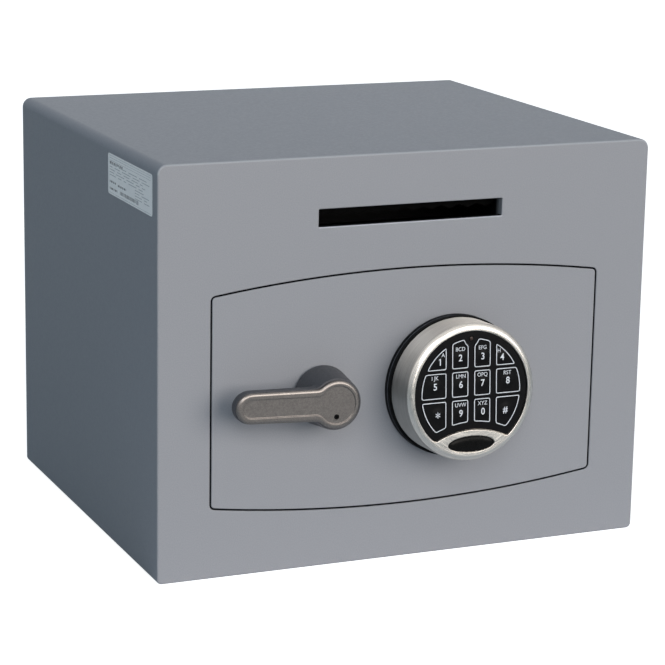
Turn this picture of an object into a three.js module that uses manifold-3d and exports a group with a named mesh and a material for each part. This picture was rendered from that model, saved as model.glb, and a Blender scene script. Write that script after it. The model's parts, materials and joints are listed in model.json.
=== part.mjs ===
// A compact drop safe: a welded steel case with a deposit slot, and a flush door with a lever
// handle, an electronic keypad and two sliding locking bolts. The door is closed and unlocked.
// Millimetres. X runs to the right, Y from the front to the back and Z up.
// The origin is the centre of the base.

import * as THREE from 'three';
import { mergeVertices } from 'three/addons/utils/BufferGeometryUtils.js';
import Module from 'manifold-3d';

const wasm = await Module();
wasm.setup();

// Case
const caseWidth = 350;
const caseHeight = 275;
const caseDepth = 300;
const caseSheet = 3;
const frontSheet = 5;
const backSheet = 3;
const ridgeRadius = 6.5;
const floorRidgeRadius = 2.2;
const floorBendRadius = 0.8;
const outerEdgeRound = 1.2;

// Clearances
const seatGap = 0.3;
const runningGap = 0.35;
const overrun = 2;

// Door
const doorSideMargin = 37;
const doorAboveBase = 38;
const doorBelowTop = 77.5;
const doorRise = 10;
const doorCornerRadius = 2.6;
const doorGap = 1.1;
const doorSheet = 8;
const doorTaper = 3;
const doorEdgeRound = 0.6;

// Stop frame behind the door's edge
const stopSheet = 3;
const stopOverlap = 8;
const stopEndOverlap = 9.75;
const stopRim = 22;
const stopSideReach = 20;
const stopSpacerClearance = 2.6;

// Deposit slot and what lies behind it
const slotWidth = 131.2;
const slotHeight = 11.8;
const slotBelowTop = 34.3;
const combSetback = 6.5;
const combSheet = 1.5;
const combPitch = 13;
const combToothDepth = 2.5;
const combTipAboveSlotBottom = 4.5;
const combHeight = 22;
const chuteSheet = 1.5;
const chuteDrop = 1;
const chuteFlangeHeight = 22;
const chuteReach = 54;
const chuteFall = 33;
const chuteSideMargin = 1.8;
const chuteCheekHeight = 33;
const baffleSetback = 70;
const baffleHeight = 57;
const baffleFlange = 16;

// Anchor holes, their plugs and the floor mat
const anchorHoleRadius = 7;
const anchorSpacing = 200;
const floorAnchorBehindMiddle = 40;
const backAnchorBelowTop = 69;
const plugFlangeRadius = 9.5;
const plugFlange = 1.5;
const plugRecess = 0.4;
const matSheet = 2;
const matMargin = 4;
const matFrontMargin = 9;
const matHoleMargin = 1.5;

// Sticker on the left side
const labelLength = 88.5;
const labelHeight = 27;
const labelSheet = 0.2;
const labelBehindFront = 9.5;
const labelBelowTop = 7.5;

// Concealed gooseneck hinges
const pivotInset = 14;
const pivotBehindPlate = 6;
const hingePinRadius = 2.8;
const hingePinHead = 2;
const hingePinHeadRadius = 4.4;
const knuckleRadius = 5.5;
const hingeArmHeight = 20;
const hingeInset = 17.5;
const gooseneckInnerRadius = 23.3;
const gooseneckSheet = 5.5;
const strutLeft = 1.5;
const strutRight = 5.5;
const hingeFootLength = 22;
const hingeFootSheet = 4.5;
const bracketLug = 4;
const bracketSheet = 3;
const bracketLugGap = 0.5;
const bracketLugDepth = 14;

// Cover over the mechanism, and the posts and screws that hold it
const coverSheet = 1.5;
const coverLeftInset = 13;
const coverRightInset = 34;
const coverStopGap = 4;
const coverDepth = 38;
const coverPostRadius = 3.8;
const coverPostInset = 6;
const coverPostLeftInset = 45;
const coverPostRightInset = 12;
const coverScrewRadius = 1.6;
const coverScrewHeadRadius = 4;
const coverScrewHead = 2.2;
const coverScrewLength = 12;

// Bolt work: two bolts on a carriage that the handle's crank draws sideways
const boltRadius = 10;
const boltInset = 16;
const boltDepthBehindDoor = 15;
const boltThrow = 15.5;
const boltTipStandout = 0.5;
const boltLength = 28.5;
const boltChamfer = 1.5;
const boltSpigotRadius = 4;
const boltSpigotStandout = 3;
const carriageSheet = 4;
const carriageBehindDoor = 12;
const carriageInset = 4;
const carriageFlangeDepth = 21.5;
const carriageFlangeBehindDoor = 4.5;
const carriagePanelHeight = 40;
const carriagePanelRight = 18;
const carriageArmInset = 11;
const carriageArmHeight = 19;
const carriageArmEndMargin = 9.5;
const guideSheet = 4;
const guideInset = 2.5;
const guideDepth = 28;
const guideFoot = 3;
const guideFootReach = 17;
const studRadius = 3;
const studCollarRadius = 5;
const studHead = 2.5;
const studShares = [0.27, 0.63];

// Handle
const handleShare = -0.2254;
const handleTiltDegrees = 2.35;
const handleLength = 69.3;
const leverWidth = 21;
const leverTaper = 0.058;
const leverThickness = 9;
const handleStandout = 28;
const hubFaceRadius = 15.8;
const hubFillet = 7;
const bossFrontRadius = 17.2;
const bossBaseRadius = 20.2;
const bossDoorGap = 0.8;
const handleFaceSheet = 2.2;
const handlePanelRadius = 12.5;
const handlePanelWidth = 11.9;
const handlePanelInset = 4.4;
const handleStep = 0.7;
const handleRecess = 0.7;
const handleBodyMargin = 0.5;
const faceScrewRadius = 1.5;
const faceScrewBelowAxis = 8;
const faceScrewRecess = 1.4;
const faceScrewLength = 7;
const spindleRadius = 5;
const spindleSocket = 19;
const bushWall = 2.4;
const bushFlangeRadius = 11;
const bushFlange = 2;
const crankBehindDoor = 4.5;
const crankSheet = 5.5;
const crankHubRadius = 10;
const crankTipRadius = 5.2;
const crankPinRadius = 3;
const crankPinPlay = 0.9;
const crankPinStandout = 8;
const crankSlotPlay = 1.2;

// Keypad
const keypadShare = 0.1137;
const keypadAboveMiddle = 1.15;
const keypadTiltDegrees = 3;
const keypadStandout = 31;
const keypadRingRadius = 47.1;
const keypadRingFloor = 4;
const keypadRingRim = 11;
const keypadGroove = 1;
const keypadRingChamfer = 0.6;
const keypadRadius = 46.3;
const keypadWall = 2.5;
const bezelRound = 4;
const bezelRise = 1.5;
const keypadFrontWall = 5.2;
const faceRadius = 40.7;
const faceSheet = 2;
const faceLip = 2.4;
const faceArcRadius = 57.2;
const faceArcBelow = 25;
const faceCornerRadius = 2.4;
const badgeBelow = 34.7;
const badgeWidth = 33.4;
const badgeHeight = 10.7;
const badgeSheet = 1;
const badgeRecess = 0.2;
const lampAbove = 35.8;
const lampRadius = 1.2;
const lampStandout = 0.3;
const lampLength = 4;
const lampNotchRadius = 5;
const boardSheet = 1.6;
const boardMargin = 3;
const batteryLength = 48.5;
const batteryWidth = 26.5;
const batteryThickness = 17.5;
const batteryBelow = 14.8;
const cableAbove = 9;
const cableRadius = 1.6;
const cableHoleRadius = 4.5;

// Keys
const keyFieldRadius = 36;
const keyFieldMargin = 5;
const keyMiddleGap = 4.2;
const keyInnerWidth = 11.9;
const keyColumnGap = 4;
const keyRowAbove = 15.3;
const keyRowPitch = 19;
const keyRowGap = 2;
const keyStandout = 0.5;
const keyLength = 4.8;

// Lock
const lockCaseWidth = 70;
const lockCaseHeightShare = 0.393;
const lockCaseDepth = 22;
const lockCaseWall = 2;
const lockCaseAboveArm = 4;
const lockCaseRightOfKeypad = 33;
const lockBoltRightOfKeypad = 13;
const lockBoltWidth = 7;
const lockBoltDepth = 6;
const lockBoltAboveArm = 1.2;
const lockBoltBlockShare = 0.39;
const lockBoltNotch = 9;
const lockBoltNotchPlay = 0.5;
const plungerRadius = 1.8;
const plungerLengthShare = 0.41;
const solenoidRadius = 5.6;
const solenoidLengthShare = 0.48;

// Steps round curves
const wideSteps = 48;
const roundSteps = 28;
const smallSteps = 12;
const cornerSteps = 4;
const bowSteps = 8;
const cableSteps = 8;

// Worked-out places
const frontY = -caseDepth / 2;
const backY = caseDepth / 2;
const plateBackY = frontY + frontSheet;
const doorBackY = frontY + doorSheet;
const doorHalfWidth = caseWidth / 2 - doorSideMargin;
const doorSideHalf = (caseHeight - doorAboveBase - doorBelowTop) / 2 - doorRise;
const doorMiddleHeight = doorAboveBase + doorRise + doorSideHalf;
const handleX = handleShare * 2 * doorHalfWidth;
const handleHeight = doorMiddleHeight;
const keypadX = keypadShare * 2 * doorHalfWidth;
const keypadHeight = doorMiddleHeight + keypadAboveMiddle;
const bowRadius = (doorHalfWidth ** 2 + doorRise ** 2) / (2 * doorRise);
const slotBottom = caseHeight - slotBelowTop - slotHeight;
const backAnchorHeight = caseHeight - backAnchorBelowTop;
const stopFrontY = doorBackY + seatGap;
const stopBackY = stopFrontY + stopSheet;
const stopEdge = doorHalfWidth - stopOverlap;
const stopOpeningHeight = 2 * (doorSideHalf - stopEndOverlap);
const innerRight = caseWidth / 2 - caseSheet;
const pivotX = innerRight - pivotInset;
const pivotY = plateBackY + pivotBehindPlate;
const hingeSpacing = stopOpeningHeight - 2 * hingeInset;
const gooseneckOuterRadius = gooseneckInnerRadius + gooseneckSheet;
const coverBackY = doorBackY + coverDepth;
const coverLeft = doorHalfWidth - coverLeftInset;
const coverRight = doorHalfWidth - coverRightInset;
const coverHeight = stopOpeningHeight - 2 * coverStopGap;
const coverPostLeft = coverLeft - coverPostLeftInset;
const coverPostRight = coverRight - coverPostRightInset;
const boltSpacing = coverHeight - 2 * boltInset;
const carriageFlangeHeight = coverHeight - 2 * carriageInset;
const boltY = doorBackY + boltDepthBehindDoor;
const boltTipX = -coverLeft - boltTipStandout;
const flangeLeftX = boltTipX + boltLength;
const flangeRightX = flangeLeftX + carriageSheet;
const carriageFrontY = doorBackY + carriageBehindDoor;
const carriageBackY = carriageFrontY + carriageSheet;
const armTopZ = doorMiddleHeight - coverHeight / 2 + carriageArmInset + carriageArmHeight;
const armMiddleZ = armTopZ - carriageArmHeight / 2;
const crankRadius = boltThrow / Math.SQRT2;
const crankPinX = handleX + crankRadius * Math.SQRT1_2;
const lockBoltX = keypadX + lockBoltRightOfKeypad;
const lockCaseHeight = lockCaseHeightShare * coverHeight;
const lockBoltBlock = lockBoltBlockShare * lockCaseHeight;
const plungerLength = plungerLengthShare * lockCaseHeight;
const solenoidLength = solenoidLengthShare * lockCaseHeight;
const lockCaseBottom = armTopZ + lockCaseAboveArm;
const lockBoltY = carriageFrontY + carriageSheet / 2;
const cableZ = keypadHeight + cableAbove;

// Finishes
function finish(color, metalness, roughness) {
  return new THREE.MeshStandardMaterial({ color, metalness, roughness });
}
const paint = finish(0x94979b, 0.3, 0.55);
const zincPlate = finish(0xb4b2a8, 0.9, 0.35);
const brightSteel = finish(0xc9c9c6, 0.95, 0.25);
const satinSteel = finish(0xb9b4ac, 0.9, 0.3);
const nickelCast = finish(0x8a837a, 0.8, 0.4);
const darkCast = finish(0x484a4e, 0.4, 0.5);
const blackPlastic = finish(0x17181a, 0, 0.45);
const keyPlastic = finish(0x121315, 0, 0.4);
const lampLens = finish(0x5a2020, 0, 0.2);
const boardGreen = finish(0x1f5a38, 0.1, 0.6);
const batteryWrap = finish(0x2c2f36, 0.3, 0.4);
const brassAlloy = finish(0xb08d4c, 0.9, 0.35);
const feltGrey = finish(0x33363b, 0, 0.95);
const labelPaper = finish(0xe6e4dc, 0, 0.7);
const rubber = finish(0x202124, 0, 0.9);

// Turns a three.js geometry into a solid, whichever way its faces wind.
function solidOf(geometry) {
  const bare = geometry.clone();
  bare.deleteAttribute('normal');
  bare.deleteAttribute('uv');
  const merged = mergeVertices(bare);
  const places = merged.attributes.position.array;
  const corner = (i) => new THREE.Vector3().fromArray(places, 3 * i);
  const triangles = [];
  let volume = 0;
  for (let i = 0; i < merged.index.count; i += 3) {
    const [a, b, c] = merged.index.array.slice(i, i + 3);
    if (a !== b && b !== c && c !== a) {
      triangles.push(a, b, c);
      volume += corner(a).dot(corner(b).cross(corner(c)));
    }
  }
  if (volume < 0) {
    triangles.reverse();
  }
  return new wasm.Manifold(new wasm.Mesh({
    numProp: 3,
    vertProperties: new Float32Array(places),
    triVerts: new Uint32Array(triangles),
  }));
}

function geometryOf(solid) {
  const mesh = solid.getMesh();
  const geometry = new THREE.BufferGeometry();
  geometry.setAttribute('position', new THREE.BufferAttribute(mesh.vertProperties, 3));
  geometry.setIndex(new THREE.BufferAttribute(mesh.triVerts, 1));
  geometry.computeVertexNormals();
  return geometry;
}

function joined(first, ...others) {
  return others.reduce((sum, other) => sum.add(other), first);
}

function cutBy(first, ...tools) {
  return tools.reduce((rest, tool) => rest.subtract(tool), first);
}

function piece(group, name, solid, material) {
  const mesh = new THREE.Mesh(geometryOf(solid), material);
  mesh.name = name;
  group.add(mesh);
}

function block(x0, x1, y0, y1, z0, z1) {
  const geometry = new THREE.BoxGeometry(x1 - x0, y1 - y0, z1 - z0);
  geometry.translate((x0 + x1) / 2, (y0 + y1) / 2, (z0 + z1) / 2);
  return solidOf(geometry);
}

function circlePoints(x, z, radius, steps) {
  const at = (i) => 2 * Math.PI * i / steps;
  return Array.from({ length: steps }, (_, i) => (
    new THREE.Vector2(x + radius * Math.cos(at(i)), z + radius * Math.sin(at(i)))));
}

function drawnOut(points, depth) {
  return new THREE.ExtrudeGeometry(new THREE.Shape(points), { depth, bevelEnabled: false });
}

// A shape drawn in X and Z, drawn out along Y.
function slabAlongY(points, near, far) {
  const geometry = drawnOut(points, far - near);
  geometry.rotateX(Math.PI / 2);
  geometry.translate(0, far, 0);
  return solidOf(geometry);
}

// A shape drawn in X and Y, drawn out along Z.
function slabAlongZ(points, low, high) {
  const geometry = drawnOut(points, high - low);
  geometry.translate(0, 0, low);
  return solidOf(geometry);
}

// A shape drawn in Y and Z, drawn out along X.
function slabAlongX(points, left, right) {
  const geometry = drawnOut(points, right - left);
  geometry.applyMatrix4(new THREE.Matrix4().set(0, 0, 1, left, 1, 0, 0, 0, 0, 1, 0, 0, 0, 0, 0, 1));
  return solidOf(geometry);
}

// A profile of [radius, place along the axis] turned about the axis X, Y or Z through a point.
function turned(profile, axis, x, y, z, steps) {
  const geometry = new THREE.LatheGeometry(profile.map(([r, t]) => new THREE.Vector2(r, t)), steps);
  if (axis === 'X') {
    geometry.rotateZ(-Math.PI / 2);
  }
  if (axis === 'Z') {
    geometry.rotateX(Math.PI / 2);
  }
  geometry.translate(x, y, z);
  return solidOf(geometry);
}

function rod(axis, x, y, z, from, to, radius, steps) {
  return turned([[0, from], [radius, from], [radius, to], [0, to]], axis, x, y, z, steps);
}

// Skins a stack of rings with the same number of points, and closes both ends.
function loft(rings) {
  const count = rings[0].length;
  const faces = [];
  for (let r = 0; r + 1 < rings.length; r += 1) {
    for (let i = 0; i < count; i += 1) {
      const a = r * count + i;
      const b = r * count + (i + 1) % count;
      faces.push(a, b, b + count, a, b + count, a + count);
    }
  }
  const lastStart = (rings.length - 1) * count;
  const closed = (ring) => (
    THREE.ShapeUtils.triangulateShape(ring.map((p) => new THREE.Vector2(p.x, p.z)), []));
  for (const [a, b, c] of closed(rings[0])) {
    faces.push(a, c, b);
  }
  for (const [a, b, c] of closed(rings.at(-1))) {
    faces.push(lastStart + a, lastStart + b, lastStart + c);
  }
  const geometry = new THREE.BufferGeometry();
  geometry.setFromPoints(rings.flat());
  geometry.setIndex(faces);
  return solidOf(geometry);
}

function ringAt(points, y) {
  return points.map((p) => new THREE.Vector3(p.x, y, p.y));
}

// Repeats a quarter outline, drawn from the right side to the top, in all four quarters.
function fourQuarters(quarter) {
  const mirrored = (sx, sz, list) => list.map((p) => new THREE.Vector2(sx * p.x, sz * p.y));
  const back = [...quarter].reverse().slice(quarter.at(-1).x === 0 ? 1 : 0);
  const forward = quarter.at(-1).x === 0 ? quarter.slice(0, -1) : quarter;
  return [
    ...quarter,
    ...mirrored(-1, 1, back),
    ...mirrored(-1, -1, forward),
    ...mirrored(1, -1, [...quarter].reverse()),
  ];
}

function arcPoints(x, z, radius, from, to, steps) {
  const at = (i) => from + (to - from) * i / steps;
  return Array.from({ length: steps + 1 }, (_, i) => (
    new THREE.Vector2(x + radius * Math.cos(at(i)), z + radius * Math.sin(at(i)))));
}

function shifted(points, x, z) {
  return points.map((p) => new THREE.Vector2(p.x + x, p.y + z));
}

function caseOutline(inset) {
  const right = caseWidth / 2 - inset;
  const top = caseHeight - inset;
  const low = Math.max(floorRidgeRadius - inset, floorBendRadius);
  const high = ridgeRadius - inset;
  const side = [
    ...arcPoints(right - low, inset + low, low, -Math.PI / 2, 0, cornerSteps),
    ...arcPoints(right - high, top - high, high, 0, Math.PI / 2, cornerSteps),
  ];
  const otherSide = side.map((p) => new THREE.Vector2(-p.x, p.y)).reverse();
  return [...side, ...otherSide];
}

// The door's outline, drawn in by an inset: straight sides, bowed top and bottom, small corners.
function doorOutline(inset, cornerRadius) {
  const bowCentre = doorSideHalf + doorRise - bowRadius;
  const arcRadius = bowRadius - inset;
  const cornerX = doorHalfWidth - inset - cornerRadius;
  const cornerZ = bowCentre + Math.sqrt((arcRadius - cornerRadius) ** 2 - cornerX ** 2);
  const lean = Math.atan2(cornerX, cornerZ - bowCentre);
  const corner = arcPoints(cornerX, cornerZ, cornerRadius, 0, Math.PI / 2 - lean, cornerSteps);
  const bow = arcPoints(0, bowCentre, arcRadius, Math.PI / 2 - lean, Math.PI / 2, bowSteps).slice(1);
  bow.at(-1).x = 0;
  return shifted(fourQuarters([...corner, ...bow]), 0, doorMiddleHeight);
}

// A plate with the case's outline whose outer edge is rounded on one side.
function casePlate(edgeY, otherY) {
  const inward = Math.sign(otherY - edgeY);
  const rings = [];
  for (let i = 0; i <= cornerSteps; i += 1) {
    const turn = Math.PI / 2 * i / cornerSteps;
    const inset = outerEdgeRound * (1 - Math.sin(turn));
    rings.push(ringAt(caseOutline(inset), edgeY + inward * outerEdgeRound * (1 - Math.cos(turn))));
  }
  rings.push(ringAt(caseOutline(0), otherY));
  return loft(rings);
}

function anchorHoles(axis, y, z, from, to) {
  return [-1, 1].map((side) => (
    rod(axis, side * anchorSpacing / 2, y, z, from, to, anchorHoleRadius, roundSteps)));
}

function addShell(group) {
  const near = plateBackY;
  const far = backY - backSheet;
  const outer = slabAlongY(caseOutline(0), near, far);
  const inner = slabAlongY(caseOutline(caseSheet), near - overrun, far + overrun);
  const holes = anchorHoles('Z', floorAnchorBehindMiddle, 0, -overrun, caseSheet + overrun);
  piece(group, 'body_shell', cutBy(outer, inner, ...holes), paint);

  const cutFrom = frontY - overrun;
  const cutTo = plateBackY + overrun;
  const aperture = slabAlongY(doorOutline(-doorGap, doorCornerRadius + doorGap), cutFrom, cutTo);
  const slot = block(-slotWidth / 2, slotWidth / 2, cutFrom, cutTo, slotBottom, slotBottom + slotHeight);
  piece(group, 'front_frame', cutBy(casePlate(frontY, plateBackY), aperture, slot), paint);

  const backHoles = anchorHoles('Y', 0, backAnchorHeight, far - overrun, backY + overrun);
  piece(group, 'back_panel', cutBy(casePlate(backY, far), ...backHoles), paint);
}

function addStopFrame(group) {
  const top = doorMiddleHeight + stopOpeningHeight / 2;
  const bottom = doorMiddleHeight - stopOpeningHeight / 2;
  const left = -doorHalfWidth - stopSideReach;
  const whole = block(left, stopEdge, plateBackY, stopBackY, bottom - stopRim, top + stopRim);
  const doorSpace = slabAlongY(doorOutline(-doorGap - stopSpacerClearance, doorCornerRadius),
    plateBackY - overrun, stopFrontY);
  const opening = block(-stopEdge, stopEdge + overrun, plateBackY - overrun, stopBackY + overrun,
    bottom, top);
  piece(group, 'door_stop_frame', cutBy(whole, doorSpace, opening), paint);
}

function addDeposit(group) {
  const halfWidth = slotWidth / 2 + chuteSideMargin;
  const lipZ = slotBottom - chuteDrop;
  const rampEndY = plateBackY + chuteSheet + chuteReach;
  const yz = (y, z) => new THREE.Vector2(y, z);

  const ramp = slabAlongX([
    yz(plateBackY, lipZ - chuteFlangeHeight),
    yz(plateBackY + chuteSheet, lipZ - chuteFlangeHeight),
    yz(plateBackY + chuteSheet, lipZ - 2 * chuteSheet),
    yz(rampEndY, lipZ - chuteFall - 2 * chuteSheet),
    yz(rampEndY, lipZ - chuteFall),
    yz(plateBackY + chuteSheet, lipZ),
    yz(plateBackY, lipZ),
  ], -halfWidth, halfWidth);
  const cheek = [
    yz(plateBackY, lipZ - 2 * chuteSheet),
    yz(rampEndY, lipZ - chuteFall - 2 * chuteSheet),
    yz(rampEndY, lipZ),
    yz(plateBackY + chuteReach / 2, lipZ + chuteCheekHeight),
    yz(plateBackY, lipZ + chuteCheekHeight),
  ];
  const cheeks = [
    slabAlongX(cheek, -halfWidth, chuteSheet - halfWidth),
    slabAlongX(cheek, halfWidth - chuteSheet, halfWidth),
  ];
  piece(group, 'deposit_chute', joined(ramp, ...cheeks), paint);

  const baffleY = plateBackY + baffleSetback;
  const ceiling = caseHeight - caseSheet;
  const hanging = block(-halfWidth, halfWidth, baffleY, baffleY + chuteSheet,
    ceiling - baffleHeight, ceiling);
  const flange = block(-halfWidth, halfWidth, baffleY, baffleY + baffleFlange,
    ceiling - chuteSheet, ceiling);
  piece(group, 'deposit_baffle', joined(hanging, flange), paint);

  const combY = plateBackY + combSetback;
  const tipZ = slotBottom + combTipAboveSlotBottom;
  const combTop = tipZ + combHeight;
  const teeth = Math.round(slotWidth / combPitch);
  const edge = [new THREE.Vector2(-slotWidth / 2, combTop)];
  for (let i = 0; i < teeth; i += 1) {
    const left = -slotWidth / 2 + i * slotWidth / teeth;
    edge.push(new THREE.Vector2(left, tipZ + combToothDepth));
    edge.push(new THREE.Vector2(left + slotWidth / teeth / 2, tipZ));
  }
  edge.push(new THREE.Vector2(slotWidth / 2, tipZ + combToothDepth));
  edge.push(new THREE.Vector2(slotWidth / 2, combTop));
  const strip = slabAlongY(edge, combY, combY + combSheet);
  const combFlange = block(-slotWidth / 2, slotWidth / 2, plateBackY, combY + combSheet,
    combTop - combSheet, combTop);
  piece(group, 'anti_fishing_comb', joined(strip, combFlange), zincPlate);
}

function addFloorAndAnchors(group) {
  const plugProfile = (holeDepth) => [
    [0, plugRecess],
    [anchorHoleRadius - seatGap, plugRecess],
    [anchorHoleRadius - seatGap, holeDepth],
    [plugFlangeRadius, holeDepth],
    [plugFlangeRadius, holeDepth + plugFlange],
    [0, holeDepth + plugFlange],
  ];
  const halfMat = caseWidth / 2 - caseSheet - matMargin;
  const mat = block(-halfMat, halfMat, plateBackY + matFrontMargin, backY - backSheet - matMargin,
    caseSheet, caseSheet + matSheet);
  const matHoles = [];
  for (const [side, word] of [[-1, 'left'], [1, 'right']]) {
    const x = side * anchorSpacing / 2;
    matHoles.push(rod('Z', x, floorAnchorBehindMiddle, 0, 0, caseSheet + matSheet + overrun,
      plugFlangeRadius + matHoleMargin, roundSteps));
    piece(group, `anchor_plug_floor_${word}`,
      turned(plugProfile(caseSheet), 'Z', x, floorAnchorBehindMiddle, 0, roundSteps), blackPlastic);
    const backProfile = plugProfile(backSheet).map(([r, t]) => [r, -t]);
    piece(group, `anchor_plug_back_${word}`,
      turned(backProfile, 'Y', x, backY, backAnchorHeight, roundSteps), blackPlastic);
  }
  piece(group, 'floor_mat', cutBy(mat, ...matHoles), feltGrey);
}

function addLabel(group) {
  const top = caseHeight - labelBelowTop;
  const near = frontY + labelBehindFront;
  const side = -caseWidth / 2;
  piece(group, 'side_label',
    block(side - labelSheet, side, near, near + labelLength, top - labelHeight, top), labelPaper);
}

// Each hinge is a bracket on the right wall, a pin, and an arm that curls round the frame's edge.
function addHinges(caseGroup, doorGroup) {
  const halfArm = hingeArmHeight / 2;
  const lugTop = halfArm + bracketLugGap + bracketLug;
  const footBackY = doorBackY + hingeFootSheet;
  const footRightX = pivotX - gooseneckInnerRadius;
  const neckLeftX = pivotX - gooseneckOuterRadius;
  for (const [side, word] of [[-1, 'lower'], [1, 'upper']]) {
    const z = doorMiddleHeight + side * hingeSpacing / 2;
    const low = z - halfArm;
    const high = z + halfArm;
    const bore = rod('Z', pivotX, pivotY, z, -lugTop - overrun, lugTop + overrun,
      hingePinRadius + runningGap, smallSteps);

    const outside = circlePoints(pivotX, pivotY, gooseneckOuterRadius, wideSteps);
    const inside = circlePoints(pivotX, pivotY, gooseneckInnerRadius, wideSteps);
    const ring = cutBy(
      slabAlongZ(outside, low, high),
      slabAlongZ(inside, low - overrun, high + overrun));
    const neck = ring.intersect(block(neckLeftX - overrun, pivotX + strutRight,
      pivotY, pivotY + gooseneckOuterRadius + overrun, low, high));
    const knuckle = rod('Z', pivotX, pivotY, z, -halfArm, halfArm, knuckleRadius, roundSteps);
    const strut = block(pivotX - strutLeft, pivotX + strutRight,
      pivotY, pivotY + gooseneckInnerRadius + strutLeft, low, high);
    const drop = block(neckLeftX, footRightX, doorBackY, pivotY, low, high);
    const foot = block(neckLeftX - hingeFootLength, footRightX, doorBackY, footBackY, low, high);
    piece(doorGroup, `hinge_arm_${word}`, cutBy(joined(neck, knuckle, strut, drop, foot), bore), zincPlate);

    const plate = block(innerRight - bracketSheet, innerRight,
      pivotY - knuckleRadius, pivotY + bracketLugDepth, z - lugTop, z + lugTop);
    const lugs = [-lugTop, lugTop - bracketLug].map((from) => joined(
      rod('Z', pivotX, pivotY, z, from, from + bracketLug, knuckleRadius, roundSteps),
      block(pivotX, innerRight, pivotY - knuckleRadius, pivotY + knuckleRadius,
        z + from, z + from + bracketLug)));
    piece(caseGroup, `hinge_bracket_${word}`, cutBy(joined(plate, ...lugs), bore), paint);

    piece(caseGroup, `hinge_pin_${word}`, turned([
      [0, -lugTop],
      [hingePinRadius, -lugTop],
      [hingePinRadius, lugTop],
      [hingePinHeadRadius, lugTop],
      [hingePinHeadRadius, lugTop + hingePinHead],
      [0, lugTop + hingePinHead],
    ], 'Z', pivotX, pivotY, z, smallSteps), brightSteel);
  }
}

function coverPostPlaces() {
  const places = [];
  for (const z of [-1, 1]) {
    for (const x of [-coverPostLeft, coverPostRight]) {
      places.push([x, doorMiddleHeight + z * (coverHeight / 2 - coverPostInset)]);
    }
  }
  return places;
}

function addDoorPlate(group) {
  const edge = [
    [doorEdgeRound, 0],
    [doorEdgeRound / 4, doorEdgeRound / 4],
    [0, doorEdgeRound],
    [doorTaper, doorSheet],
  ];
  const plate = loft(edge.map(([inset, depth]) => (
    ringAt(doorOutline(inset, doorCornerRadius), frontY + depth))));
  const spindleHole = rod('Y', handleX, 0, handleHeight, frontY - overrun, doorBackY + overrun,
    spindleRadius + runningGap + bushWall + seatGap, roundSteps);
  const cableHole = rod('Y', keypadX, 0, cableZ, frontY - overrun, doorBackY + overrun,
    cableHoleRadius, smallSteps);
  const postTop = coverBackY - coverSheet;
  const posts = [];
  const bores = [];
  for (const [x, z] of coverPostPlaces()) {
    posts.push(rod('Y', x, 0, z, doorBackY - overrun, postTop, coverPostRadius, smallSteps));
    bores.push(rod('Y', x, 0, z, postTop - coverScrewLength, postTop + overrun,
      coverScrewRadius + seatGap, smallSteps));
  }
  piece(group, 'door_plate', cutBy(joined(plate, ...posts), spindleHole, cableHole, ...bores), paint);
}

function addDoorCover(group) {
  const top = doorMiddleHeight + coverHeight / 2;
  const bottom = doorMiddleHeight - coverHeight / 2;
  const outer = block(-coverLeft, coverRight, doorBackY, coverBackY, bottom, top);
  const inner = block(coverSheet - coverLeft, coverRight - coverSheet,
    doorBackY - overrun, coverBackY - coverSheet, bottom + coverSheet, top - coverSheet);
  const boltHoles = [-1, 1].map((side) => rod('X', 0, boltY, handleHeight + side * boltSpacing / 2,
    -coverLeft - overrun, overrun - coverLeft + coverSheet, boltRadius + 2 * runningGap, roundSteps));
  const screwHoles = coverPostPlaces().map(([x, z]) => rod('Y', x, 0, z,
    coverBackY - coverSheet - overrun, coverBackY + overrun, coverScrewRadius + seatGap, smallSteps));
  piece(group, 'door_cover', cutBy(outer, inner, ...boltHoles, ...screwHoles), paint);

  coverPostPlaces().forEach(([x, z], i) => {
    const screw = turned([
      [0, -coverScrewLength + seatGap],
      [coverScrewRadius, -coverScrewLength + seatGap],
      [coverScrewRadius, coverSheet],
      [coverScrewHeadRadius, coverSheet],
      [coverScrewHeadRadius, coverSheet + coverScrewHead / 2],
      [coverScrewHeadRadius / 2, coverSheet + coverScrewHead],
      [0, coverSheet + coverScrewHead],
    ], 'Y', x, coverBackY - coverSheet, z, smallSteps);
    piece(group, `cover_screw_${i + 1}`, screw, zincPlate);
  });
}

function studPlaces() {
  return studShares.map((share) => handleX + share * (lockBoltX - handleX));
}

function addBoltGuide(group) {
  const left = coverSheet + guideInset - coverLeft;
  const right = left + guideSheet;
  const halfHeight = carriageFlangeHeight / 2;
  const low = handleHeight - halfHeight;
  const high = handleHeight + halfHeight;
  const wall = block(left, right, doorBackY, doorBackY + guideDepth, low, high);
  const foot = block(left, left + guideFootReach, doorBackY, doorBackY + guideFoot, low, high);
  const holes = [-1, 1].map((side) => rod('X', 0, boltY, handleHeight + side * boltSpacing / 2,
    left - overrun, right + overrun, boltRadius + runningGap, roundSteps));
  piece(group, 'bolt_guide', cutBy(joined(wall, foot), ...holes), zincPlate);

  studPlaces().forEach((x, i) => {
    const stud = turned([
      [0, 0],
      [studCollarRadius, 0],
      [studCollarRadius, carriageBehindDoor - seatGap],
      [studRadius, carriageBehindDoor - seatGap],
      [studRadius, carriageBehindDoor + carriageSheet + seatGap],
      [studCollarRadius, carriageBehindDoor + carriageSheet + seatGap],
      [studCollarRadius, carriageBehindDoor + carriageSheet + seatGap + studHead],
      [0, carriageBehindDoor + carriageSheet + seatGap + studHead],
    ], 'Y', x, doorBackY, armMiddleZ, smallSteps);
    piece(group, `guide_stud_${i + 1}`, stud, brightSteel);
  });
}

function slotPoints(left, right, z, radius) {
  return [
    ...arcPoints(right, z, radius, -Math.PI / 2, Math.PI / 2, smallSteps / 2),
    ...arcPoints(left, z, radius, Math.PI / 2, 3 * Math.PI / 2, smallSteps / 2),
  ];
}

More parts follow.
